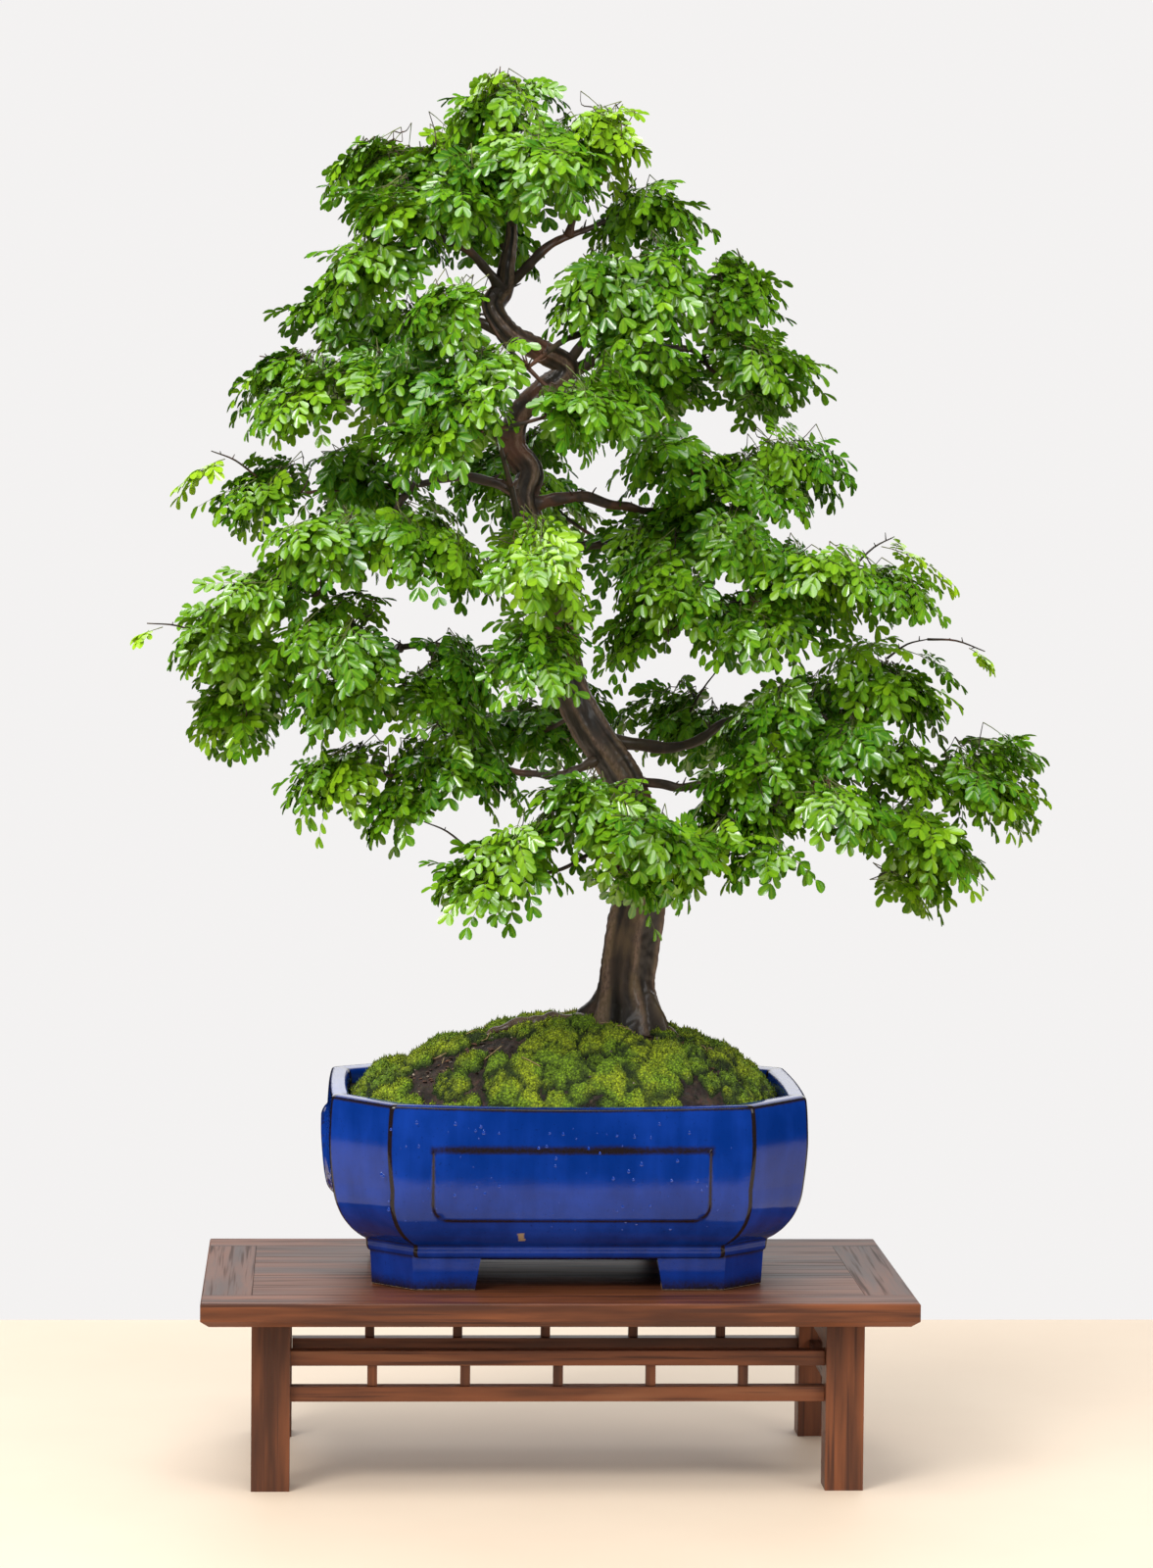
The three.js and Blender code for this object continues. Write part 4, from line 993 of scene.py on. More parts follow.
def cushions(x, y):
    """The moss's relief in millimetres and how far its highest dome leads the next one.

    Domes with wavy outlines stand at seeded places over shallow gaps. The highest counts at each point, and
    where two are level a crease runs between them.
    """
    draw = np.random.default_rng(5)
    total, second = np.full(x.shape, -3.0), np.full(x.shape, -9.0)
    for _ in range(CUSHIONS):
        cx, cy = draw.uniform(-185, 185), draw.uniform(-133, 133)
        radius = 7.0 + 14.0 * draw.uniform() ** 1.5
        height = draw.uniform(0.36, 0.6) * radius + 1.0
        turn = np.arctan2(y - cy, x - cx)
        warp = 1 + 0.15 * np.sin(3 * turn + cx) + 0.1 * np.sin(5 * turn + cy)
        warp = warp + 0.06 * np.sin(9 * turn + cx + cy)
        rise = 1 - ((x - cx) ** 2 + (y - cy) ** 2) / (radius * warp) ** 2
        dome = np.where(rise > 0, height * np.maximum(rise, 0) ** 0.42, -3.0)
        second = np.maximum(second, np.minimum(total, dome))
        total = np.maximum(total, dome)
    lead = np.clip((total - second) / CREASE, 0, 1)
    return total - CREASE * (1 - lead) * (total > -3), lead


def moss_finish(settings):
    """Moss: bright tips that stand as grains, painted shade in its hollows and the creases between cushions,
    and greener and yellower patches.
    """
    finish = Finish("moss", Roughness=0.9)
    near = finish.place()
    patch = finish.noise(near, 30.0, 3.0, 0.6)
    grain = finish.node("TexVoronoi", output=0, Vector=near, Scale=430.0)
    pile = finish.noise(near, 620.0, 2.0, 0.7)
    clump = finish.noise(near, 130.0, 3.0, 0.7)
    # The mesh's painted light: low in the hollows and the creases between cushions, where shade falls
    light = finish.attribute("light")
    yellow = scaled(settings.moss, 1.75, 1.3, 1.0)
    tip = finish.mix(patch.step(0.42, 0.6), settings.moss, yellow)
    dots = (1.0 - grain.step(0.1, 0.75)) * 0.8 + (pile - 0.4).step(0.0, 0.3) * 0.35
    # Painted shade: the moss takes its shade colour where the painted light is low
    share = (light * 0.75 + clump * 0.35 - 0.3).step(0.0, 0.6) * (0.22 + dots)
    colour = finish.mix(share.clamp(), settings.moss_painted_shade, tip)
    # The soil colour where no cushion stands, and as painted shade where the painted light is lowest, at the
    # cushions' low edges and in the deepest creases
    bare = 1.0 - (light + (clump - 0.5) * 0.25).step(0.0, 0.14)
    colour = finish.mix(bare * 0.85, colour, (0.02, 0.013, 0.009))
    finish.set("Base Color", colour)
    finish.bump(dots * 0.9 + clump * 0.5, 0.0022, 1.0)
    return finish


def soil_finish(settings):
    """Damp dark soil: two browns by noise, with grains of other tones."""
    finish = Finish("soil", Roughness=0.8)
    near = finish.place()
    grain = finish.node("TexVoronoi", output=1, Vector=near, Scale=330.0)
    tone = finish.noise(near, 60.0, 4.0, 0.7)
    colour = finish.mix(tone.step(0.4, 0.65), settings.soil, scaled(settings.soil, 3.2))
    colour = finish.mix(0.35, colour, grain, "MULTIPLY")
    finish.set("Base Color", colour)
    finish.bump(finish.noise(near, 500.0, 3.0, 0.7), 0.0012, 0.9)
    return finish


def chips(seed, count, size, flat, lift):
    """Bark bits or gravel: seeded uneven octahedra on the mound, lifted by a share of the moss's relief."""
    draw = np.random.default_rng(seed)
    ball = np.array([(1, 0, 0), (0, 1, 0), (-1, 0, 0), (0, -1, 0), (0, 0, 1), (0, 0, -1)], float)
    faces = np.array([(0, 1, 4), (1, 2, 4), (2, 3, 4), (3, 0, 4), (1, 0, 5), (2, 1, 5), (3, 2, 5), (0, 3, 5)])
    angle = draw.uniform(0, 2 * np.pi, count)
    reach = np.sqrt(draw.uniform(0, 0.93, count))
    x = np.cos(angle) * reach * (HOLLOW_HALF[0] - 6)
    y = np.sin(angle) * reach * (HOLLOW_HALF[1] - 6)
    scale = size * draw.uniform(0.5, 1.5, (count, 1)) * np.array([[1.0, 0.62, flat]])
    shape = ball[None] * scale[:, None] * draw.uniform(0.7, 1.25, (count, 6, 1))
    turn = draw.uniform(0, 2 * np.pi, count)
    c, s = np.cos(turn)[:, None], np.sin(turn)[:, None]
    px = shape[..., 0] * c - shape[..., 1] * s + x[:, None]
    py = shape[..., 0] * s + shape[..., 1] * c + y[:, None]
    rise = np.maximum(cushions(x, y)[0], 0.0) * lift
    tilt = draw.normal(0, 0.2, (count, 1))
    pz = shape[..., 2] + (mound_height(x, y) + rise)[:, None] + shape[..., 0] * tilt
    return here(over_pot(px, py, pz).reshape(-1, 3)), copied(faces, count, len(ball))


class BONSAI_OT_ground(bpy.types.Operator):
    """Makes the soil mound, the moss cushions with their tufts, and the bits that lie on them."""

    bl_idname = "bonsai.ground"
    bl_label = "Soil and moss"

    def execute(self, context):
        settings = context.scene.bonsai_ground
        self.make_soil(settings)
        self.make_moss(settings)
        self.make_bits()
        return {"FINISHED"}

    def make_soil(self, settings):
        """A closed dome: the mound with small seeded lumps that fade out at the pot's wall."""
        places, share = mound_grid(rings=90, columns=260, inset=0.8)
        x, y = places[..., 0], places[..., 1]
        points = over_pot(x, y, mound_height(x, y) - 1.2)
        points[..., 2] += 0.9 * waves(points, 3, 14, 9.0) * np.minimum(1, 14 * (1 - share))[:, None]
        points = closed_below(points, SOIL_DEPTH)
        soil = new_mesh("soil_mound", here(points.reshape(-1, 3)), grid_faces(len(points), points.shape[1]))
        dress(soil, soil_finish(settings), "soil", "soil")

    def make_moss(self, settings):
        """The cushions as one closed skin over the mound, with a fine pile of seeded bumps, and tufts on it.

        A tuft is a three-sided spike: three points about its foot and one at its leaning tip.
        """
        places, share = mound_grid(rings=190, columns=300, inset=0.6)
        x, y = places[..., 0], places[..., 1]
        relief, lead = cushions(x, y)
        fade = np.minimum(1, 9 * (1 - share))[:, None]
        points = over_pot(x, y, mound_height(x, y) + relief * fade)
        pile = waves(points, 21, 16, 4.2) * 0.55 + waves(points, 22, 16, 2.6) * 0.5
        points[..., 2] += (pile + 0.6 * waves(points, 23, 12, 14.0)) * fade
        # The painted light for the moss's colour: low where the relief is low and in the creases where two
        # cushions are level, where shade falls
        light = np.clip((relief + 2.2) / 10.0, 0, 1) * (0.3 + 0.7 * lead)
        points = closed_below(points, MOSS_DEPTH)
        light = np.concatenate([np.zeros((2, light.shape[1])), light])
        skin = moss_finish(settings)
        faces = grid_faces(len(points), points.shape[1])
        moss = new_mesh("moss_cushions", here(points.reshape(-1, 3)), faces, values={"light": light})
        dress(moss, skin, "moss", "moss")
        draw = np.random.default_rng(31)
        row = (len(share) * (1 - np.sqrt(draw.uniform(0, 1, TUFTS))) ** 0.9).astype(int) + 2
        pick = np.clip(row, 3, len(points) - 2), draw.integers(0, points.shape[1], TUFTS)
        # Tufts stand only where the painted light is high
        keep = light[pick] > 0.38
        foot, bright = points[pick][keep], light[pick][keep]
        height = draw.uniform(1.6, 3.8, len(foot))
        lean = draw.normal(0, 1.0, (len(foot), 2))
        turn = draw.uniform(0, 2 * np.pi, len(foot))
        corners = turn[:, None] + np.array([0, 2.1, 4.2])[None]
        cos, sin = TUFT_RADIUS * np.cos(corners), TUFT_RADIUS * np.sin(corners)
        around = np.stack([cos, sin, np.full(corners.shape, -0.3)], -1)
        tip = foot + np.column_stack([lean, height])
        blades = np.concatenate([foot[:, None] + around, tip[:, None]], axis=1)
        faces = copied(np.array([(0, 1, 3), (1, 2, 3), (2, 0, 3), (0, 2, 1)]), len(foot), 4)
        # Each tuft carries the painted light of the place where it stands
        values = {"light": np.repeat(bright * 0.8 + 0.2, 4)}
        tufts = new_mesh("moss_tufts", here(blades.reshape(-1, 3)), faces, values=values)
        dress(tufts, skin, "moss")

    def make_bits(self):
        """Bark bits, pale gravel and dry straw."""
        browns = ((0.016, 0.01, 0.008), (0.14, 0.06, 0.03))
        bark = speckled("bark_bits", 0.8, (140.0, 3.0, 0.6), browns, (0.4, 0.62))
        flakes = chips(seed=8, count=620, size=3.0, flat=0.35, lift=0.25)
        dress(new_mesh("bark_bits", *flakes, smooth=False), bark, "soil")
        grit = speckled("grit", 0.7, (90.0, 2.0, 0.5), ((0.32, 0.25, 0.18), (0.1, 0.08, 0.07)), (0.45, 0.55))
        stones = chips(seed=9, count=130, size=1.6, flat=0.7, lift=0.6)
        dress(new_mesh("grit", *stones, smooth=False), grit, "soil")
        draw = np.random.default_rng(17)
        t = np.linspace(-0.5, 0.5, 7)
        straws = []
        for _ in range(STRAWS):
            angle, reach = draw.uniform(0, 2 * np.pi), math.sqrt(draw.uniform(0, 0.8))
            turn, length = draw.uniform(0, 2 * np.pi), draw.uniform(8, 22)
            x = math.cos(angle) * reach * 170 + math.cos(turn) * t * length
            y = math.sin(angle) * reach * 120 + math.sin(turn) * t * length + 2 * t * t
            z = mound_height(x, y) + np.maximum(cushions(x, y)[0], 0) + 1.6 + 1.5 * t
            straws.append(tube(here(over_pot(x, y, z)), np.full(7, 0.00045), 5))
        straw = speckled("straw", 0.6, (120.0, 2.0, 0.5), ((0.42, 0.3, 0.12), (0.2, 0.13, 0.06)))
        dress(new_mesh("straw", *joined(straws)), straw, "soil")


# The wood

def bark_finish(settings):
    """Grey brown bark: darker in the flutes along the stem, reddish and olive patches, and pale ridges."""
    finish = Finish("bark", Roughness=0.5, Coat_Weight=0.35, Coat_Roughness=0.22)
    near = finish.place((1.0, 1.0, 0.22))
    flutes = finish.noise(near, 95.0, 4.0, 0.65, 0.6)
    fine = finish.noise(finish.place((1.0, 1.0, 0.5)), 420.0, 4.0, 0.7)
    patch = finish.noise(finish.place(), 22.0, 3.0, 0.6)
    ridge = finish.attribute("ridge")
    # Darker where the ridge attribute and the flutes noise are low, in the flutes of the stem, and lighter on
    # the ridges
    share = (ridge * 0.5 + flutes * 0.6 - 0.12).step(0.12, 0.75)
    colour = finish.mix(share, settings.bark_dark, settings.bark)
    red, olive = scaled(settings.bark, 1.9, 1.2, 0.95), scaled(settings.bark, 1.7, 1.9, 1.1)
    colour = finish.mix((patch - 0.5).step(0.0, 0.16) * 0.7, colour, red)
    colour = finish.mix((0.5 - patch).step(0.0, 0.14) * (ridge - 0.3).step(0.0, 0.4) * 0.6, colour, olive)
    pale = tuple(c * 3.0 + 0.02 for c in settings.bark)
    colour = finish.mix((ridge - 0.55).step(0.0, 0.4) * (fine - 0.35).step(0.0, 0.3) * 0.6, colour, pale)
    finish.set("Base Color", colour)
    finish.set("Roughness", 0.42 + 0.35 * flutes)
    finish.bump(flutes * 0.8 + fine * 0.45, 0.0018, 0.8)
    return finish


def trunk_path(count):
    """The trunk's centre line and radius."""
    line = smooth_path(TRUNK, count)
    return line[:, :3], line[:, 3]


def trunk_surface(count, sides):
    """The trunk: its radius fluted by slow sine ridges that twist upwards, and flared into roots at the soil.

    The flare adds lobes, bell curves of the angle around the trunk, that die away with height above the
    soil line. The skin is roughened outwards by seeded waves. Returns points, faces and how far each point
    stands on a ridge.
    """
    path, radius = trunk_path(count)
    angle = np.linspace(0, 2 * np.pi, sides, endpoint=False)[None]
    z = path[:, 2][:, None]
    side, other = frames_along(path)
    flutes = 0.06 * np.sin(5 * angle + z * 0.012) + 0.04 * np.sin(3 * angle - z * 0.02 + 1.3)
    flutes = flutes + 0.022 * np.sin(11 * angle + z * 0.03) + 0.014 * np.sin(17 * angle - z * 0.021)
    lumps = 0.035 * np.sin(z * 0.11 + 2 * angle) * np.sin(z * 0.043)
    swell = radius[:, None] * (1 + flutes + lumps)
    ring_x = np.cos(angle) * side[:, 0:1] + np.sin(angle) * other[:, 0:1]
    ring_y = np.cos(angle) * side[:, 1:2] + np.sin(angle) * other[:, 1:2]
    facing = np.arctan2(ring_y, ring_x)
    fade = 1 / (1 + np.exp((z - TRUNK_FOOT - 10) / 8.5))
    for direction, reach, width in FLARE_LOBES:
        turn = np.angle(np.exp(1j * (facing - direction)))
        swell = swell + reach * fade * np.exp(-((turn / width) ** 2))
    swell = swell + 3.5 * fade
    points, faces = tube(path, swell, sides)
    ridge = 0.5 + (flutes + 0.5 * lumps) * 6.5
    ridge = np.concatenate([ridge[:1], ridge, ridge[-1:]])
    grit = waves(points, 61, 18, 7.0) * 0.35 + waves(points, 62, 18, 3.2) * 0.16
    outward = points - np.repeat(np.concatenate([path[:1], path, path[-1:]]), sides, axis=0)
    points = points + normalised(outward) * grit[:, None]
    return points, faces, np.clip(ridge, 0, 1)


def knotted(line, radius, seed, size, lumps, flutes, rate):
    """A limb's or a root's tube: its radius swells by seeded waves and by three ridges that turn with x."""
    angle = np.linspace(0, 2 * np.pi, LIMB_SIDES, endpoint=False)[None]
    knots = 1 + lumps * waves(line, seed, 9, size)[:, None]
    knots = knots + flutes * np.sin(3 * angle + line[:, :1] * rate)
    return tube(line, radius[:, None] * knots, LIMB_SIDES)


def point_at(path, share):
    """The point at a share of a path's length."""
    steps = np.linalg.norm(np.diff(path, axis=0), axis=1)
    along = np.concatenate([[0], np.cumsum(steps)]) / steps.sum()
    return np.array([np.interp(share, along, path[:, axis]) for axis in range(3)])


def spray_hub(name, start):
    """Where a spray's twigs part: its pads' middle, weighed by size, lowered and drawn back to its start."""
    pads = np.array(PADS[name], dtype=float)
    weight = pads[:, 3] * pads[:, 5]
    middle = (pads[:, :3] * weight[:, None]).sum(axis=0) / weight.sum()
    half = pads[:, 3:6].mean(axis=0)
    back = np.asarray(start, float) - middle
    back[2] = min(back[2], 0)
    reach = min(0.5 * half[0], 0.45 * np.linalg.norm(back))
    hub = middle + back / max(np.linalg.norm(back), 1e-6) * reach
    hub[2] = middle[2] - 0.3 * half[2]
    return hub


def limb_paths():
    """Every limb's centre line and radius, and each spray's hub, in millimetres.

    A limb runs from the trunk through its bends to the hub of its spray, wanders by seeded waves, and is
    thickened where it leaves the trunk. A side spray's twig arches from its limb to its hub.
    """
    trunk, _ = trunk_path(300)
    paths = {"trunk": trunk}
    limbs, hubs = [], {}
    t = np.linspace(0, 1, 90)
    for name, (share, radius, bends, spray) in LIMBS.items():
        hub = spray_hub(spray, bends[-1])
        line = smooth_path([point_at(trunk, share), *bends, hub], len(t))
        wander = np.stack([waves(line, seed, 7, 46.0) for seed in (71, 72, 73)], axis=-1)
        line = line + wander * (2.0 * np.sin(np.pi * t))[:, None]
        paths[name] = line
        hubs[spray] = hub
        thickness = radius + (1.7 - radius) * t**0.8 + radius * 0.55 * np.exp(-t * 26)
        limbs.append((line, thickness))
    t = np.linspace(0, 1, 50)
    for spray, (limb, share) in SIDE_SPRAYS.items():
        start = point_at(paths[limb], share)
        hub = spray_hub(spray, start)
        line = smooth_path([start, (start + hub) / 2 + np.array([0, 0, 5.0]), hub], len(t))
        limbs.append((line, 3.3 - 1.7 * t + 1.2 * np.exp(-t * 16)))
        hubs[spray] = hub
    return limbs, hubs


def pad_shoots(hub, pad, spacing, draw):
    """The shoots and leaf places of one pad.

    The leaves' middles fill an ellipsoid inside the pad: directions turn by the golden angle, the radius
    grows as the cube root of a share that leaves the core thin, and about a quarter of them stray outwards.
    Each leaf starts its reach back along its own heading, and its shoot springs from the nearest place
    already grown, nearer places to the pad's foot first. Returns tubes (line, radius) and the leaves'
    places, headings and normals.
    """
    middle, half = np.array(pad[:3], float), np.array(pad[3:6], float)
    foot = middle + (hub - middle) * 0.45
    foot[2] = middle[2] - 0.35 * half[2]
    inner = np.maximum(half - np.array(LEAF_ROOM), half * 0.2)
    count = int(round(1.5 + half[0] * half[2] / spacing**2))
    i = np.arange(count)
    turn = i * GOLDEN_ANGLE + draw.uniform(-0.4, 0.4, count) + draw.uniform(0, 6.28)
    rise = -0.8 + 1.75 * ((i * 0.618 + draw.uniform()) % 1.0) + draw.normal(0, 0.08, count)
    rise = np.clip(rise, -0.95, 0.98)
    flat = np.sqrt(1 - rise**2)
    share = np.cbrt(draw.uniform(0.12, 1.0, count))
    share = share * (1 + 0.38 * (draw.uniform(size=count) < 0.28))
    around = np.stack([np.cos(turn) * flat, np.sin(turn) * flat, rise], axis=-1)
    centres = middle + inner * around * share[:, None]
    centres = centres + draw.normal(0, [6.0, 6.0, 3.0], (count, 3))
    ways = normalised(centres - foot) * np.array([1.0, 1.0, 0.0]) + draw.normal(0, 0.3, (count, 3))
    ways, normals = leaf_planes(ways, draw)
    starts = centres - ways * LEAF_REACH
    bend = (hub + foot) / 2 + draw.normal(0, 2.5, 3)
    tubes = [(smooth_path([hub, bend, foot], 8), np.linspace(1.9, 1.4, 8))]
    grown = [foot]
    for k in np.argsort(np.linalg.norm(starts - foot, axis=1)):
        away = np.linalg.norm(np.array(grown) - starts[k], axis=1)
        inward = np.linalg.norm(np.array(grown) - foot, axis=1)
        base = grown[int(np.argmin(away + 0.4 * inward))]
        bend = (base + starts[k]) / 2 + draw.normal(0, 1.6, 3) + np.array([0, 0, -4.0])
        thick = 1.1 if base is foot else 0.6
        tubes.append((smooth_path([base, bend, starts[k]], 7), np.linspace(thick, 0.35, 7)))
        grown.append(starts[k])
    return tubes, starts, ways, normals


def leaf_planes(ways, draw):
    """Each leaf's heading and normal: upright, leaned along its way, and the way laid square to that."""
    count = len(ways)
    level = ways * np.array([1.0, 1.0, 0.0])
    upright = np.array([0, 0, 1.0]) + draw.normal(0, 0.32, (count, 3))
    normals = normalised(upright + level * draw.uniform(0.05, 0.95, (count, 1)))
    return normalised(ways - normals * np.sum(ways * normals, axis=1, keepdims=True)), normals


def spray_shoots(name, hub, seed, settings):
    """A spray's shoots and leaves: those of its pads, its long sprigs, and a few bare spurs at the hub.

    Returns tubes (line, radius) and arrays of leaf places, headings, normals and freshness.
    """
    draw = np.random.default_rng(seed)
    tubes, places, headings, planes, fresh = [], [], [], [], []
    for pad in PADS[name]:
        shoots, starts, ways, normals = pad_shoots(hub, pad, settings.leaf_spacing / MM, draw)
        tubes += shoots
        places.append(starts)
        headings.append(ways)
        planes.append(normals)
        fresh.append(np.full(len(starts), pad[6]))
    for spray, start, tip, tone in SPRIGS:
        if spray != name:
            continue
        start, tip = np.array(start, float), np.array(tip, float)
        way = (tip - start) / np.linalg.norm(tip - start)
        line = smooth_path([start, (start + tip) / 2 + np.array([0, 0, 4.0]), tip], 9)
        tubes.append((line, np.linspace(1.15, 0.5, 9)))
        for share in (0.35, 0.6, 0.82):
            foot = point_at(line, share)
            thorn = draw.normal(0, 1, 3) * 2.2 + np.array([0, 0, 3.0])
            tubes.append((smooth_path([foot, foot + thorn], 3), np.linspace(0.6, 0.3, 3)))
        if tone >= 0:
            places.append(tip[None] - way * LEAF_REACH * 0.5)
            heading, normal = leaf_planes(way[None] * np.array([1, 1, 0.4]), draw)
            headings.append(heading)
            planes.append(normal)
            fresh.append(np.array([tone]))
    for way, length in zip(draw.normal(size=(4, 3)), draw.uniform(8, 20, 4)):
        bare = smooth_path([hub, hub + way * 4 + [0, 0, 3], hub + way * length * 0.7 + [0, 0, 5]], 5)
        tubes.append((bare, np.linspace(1.1, 0.45, 5)))
    return tubes, *(np.concatenate(part) for part in (places, headings, planes, fresh))


class BONSAI_OT_wood(bpy.types.Operator):
    """Makes the trunk with its root flare, the limbs, the surface roots and the fine twigs of every spray."""

    bl_idname = "bonsai.wood"
    bl_label = "Wood"

    def execute(self, context):
        settings = context.scene.bonsai_tree
        bark = bark_finish(settings)
        points, faces, ridge = trunk_surface(count=430, sides=72)
        trunk = new_mesh("trunk", here(points), faces, values={"ridge": ridge})
        dress(trunk, bark, "bark", "trunk_and_branches")
        limbs, hubs = limb_paths()
        shapes = [knotted(*limb, seed=81, size=17.0, lumps=0.1, flutes=0.06, rate=0.07) for limb in limbs]
        limb_points = sum(len(points) for points, _ in shapes)
        t = np.linspace(0, 1, 60)
        for bends, width in ROOTS:
            bends = np.array(bends, float)
            rise = mound_height(bends[:, 0] - POT_PLACE[0], bends[:, 1] - POT_PLACE[1]) + bends[:, 2]
            line = smooth_path(np.column_stack([bends[:, :2], rise]), len(t))
            line = line + 1.6 * np.stack([waves(line, seed, 7, 21.0) for seed in (74, 75, 76)], axis=-1)
            radius = width * (1 - 0.72 * t)
            shapes.append(knotted(line, radius, seed=82, size=13.0, lumps=0.14, flutes=0.07, rate=0.09))
        points, faces = joined(shapes)
        values = {"ridge": np.where(np.arange(len(points)) < limb_points, 0.45, 0.7)}
        dress(new_mesh("limbs", here(points), faces, values=values), bark, "bark")
        fine = []
        for seed, (name, hub) in enumerate(sorted(hubs.items())):
            tubes = spray_shoots(name, hub, SPRAY_SEED + seed, settings)[0]
            fine += [tube(line, radius, 4) for line, radius in tubes]
        fine += self.thorns(limbs)
        points, faces = joined(fine)
        values = {"ridge": np.full(len(points), 0.35)}
        dress(new_mesh("twigs", here(points), faces, values=values), bark, "bark")
        return {"FINISHED"}

    def thorns(self, limbs):
        """Short pruned spurs along the limbs: small tubes that point up and out."""
        draw = np.random.default_rng(91)
        spurs = []
        for line, radius in limbs:
            for share in draw.uniform(0.2, 0.95, 7):
                k = int(share * (len(line) - 1))
                turn = draw.uniform(0, 2 * np.pi)
                way = np.array([math.cos(turn), math.sin(turn), draw.uniform(0.3, 1.6)])
                way /= np.linalg.norm(way)
                end = line[k] + way * (radius[k] + draw.uniform(3, 13))
                spur = smooth_path([line[k], (line[k] + end) / 2 + draw.normal(0, 0.8, 3), end], 5)
                spurs.append(tube(spur, np.linspace(1.2, 0.45, 5), 5))
        return spurs


# The leaves

def leaf_finish(settings, name):
    """Glossy leaflets, whose own tone shifts their green from dark blue green to fresh yellow green."""
    finish = Finish(name, Roughness=0.22, Specular_IOR_Level=0.85)
    tone = finish.attribute("tone")
    rib = finish.attribute("rib")
    dark = scaled(settings.leaf, 0.28, 0.36, 1.5)
    warm = tuple(a * 0.7 + b * 0.3 for a, b in zip(settings.leaf, settings.fresh))
    stops = [(0.0, dark), (0.3, settings.leaf), (0.62, warm), (1.0, settings.fresh)]
    colour = finish.node("ValToRGB", stops=stops, Fac=tone)
    mottle = finish.noise(finish.place(), 240.0, 2.0, 0.5)
    colour = finish.mix((mottle - 0.4).step(0.0, 0.5) * 0.12, colour, settings.fresh)
    colour = finish.mix((1.0 - rib.step(0.0, 0.1)) * 0.25, colour, settings.fresh)
    finish.set("Base Color", colour)
    finish.set("Roughness", 0.1 + 0.24 * mottle)
    return finish


def sagging(starts, ways, share, lengths, sag):
    """Points at shares of many stems: each runs its way and drops by its sag times the share squared."""
    t = share[None, :, None]
    lengths = lengths[:, None, None]
    return starts[:, None] + ways[:, None] * (t * lengths) + DOWN * (sag * t**2 * lengths)


def pinnae_of(starts, ways, ups, lengths, draw):
    """The leaflets of many pinnae at once.

    Each pinna is an arc that starts along its way and bends down by gravity; leaflet pairs stand along it,
    small and wide-set at the foot, large and swept forward at the tip. Returns the leaflets' roots, ways,
    normals and sizes, and three points along each arc.
    """
    t = (np.arange(LEAFLET_PAIRS) + 0.75) / LEAFLET_PAIRS
    sag = draw.uniform(0.05, 0.36, len(starts))[:, None, None]
    roots = sagging(starts, ways, t, lengths, sag)
    heading = normalised(ways[:, None] + DOWN * (2 * sag * t[None, :, None]))
    across = normalised(np.cross(heading, ups[:, None]))
    over = normalised(np.cross(across, heading))
    sweep = np.radians(np.interp(t, [0, 1], LEAFLET_SWEEP))[None, :, None]
    size = np.interp(t, [0, 0.45, 1], [0.6, 0.92, 1.15])[None] * draw.uniform(0.85, 1.12, (len(starts), 1))
    out = []
    for sign in (-1, 1):
        fold = draw.normal(0.12, 0.2, (len(starts), LEAFLET_PAIRS, 1))
        way = heading * np.cos(sweep) + sign * across * np.sin(sweep) - over * fold
        way = normalised(way + draw.normal(0, 0.07, way.shape))
        flat = normalised(over - way * np.sum(over * way, axis=-1, keepdims=True))
        flat = normalised(flat + draw.normal(0, 0.12, flat.shape))
        out.append((roots, way, flat, size))
    stack = [np.concatenate([o[i].reshape(-1, *o[i].shape[2:]) for o in out]) for i in range(4)]
    return stack, sagging(starts, ways, np.array([0.0, 0.5, 1.0]), lengths, sag)


def ribbons(lines, width):
    """Thin three-sided stems along many short lines at once, tapering to 0.55 of their width."""
    count, steps = lines.shape[:2]
    heading = normalised(np.gradient(lines, axis=1))
    side = normalised(np.cross(heading, np.array([0.1, 0.2, 1.0])))
    other = np.cross(heading, side)
    angle = np.array([0, 2 * np.pi / 3, 4 * np.pi / 3])
    taper = np.linspace(1.0, 0.55, steps)[None, :, None, None] * width
    cos, sin = np.cos(angle)[None, None, :, None], np.sin(angle)[None, None, :, None]
    ring = cos * side[:, :, None] + sin * other[:, :, None]
    points = (lines[:, :, None] + ring * taper).reshape(-1, 3)
    return points, copied(grid_faces(steps, 3), count, steps * 3)


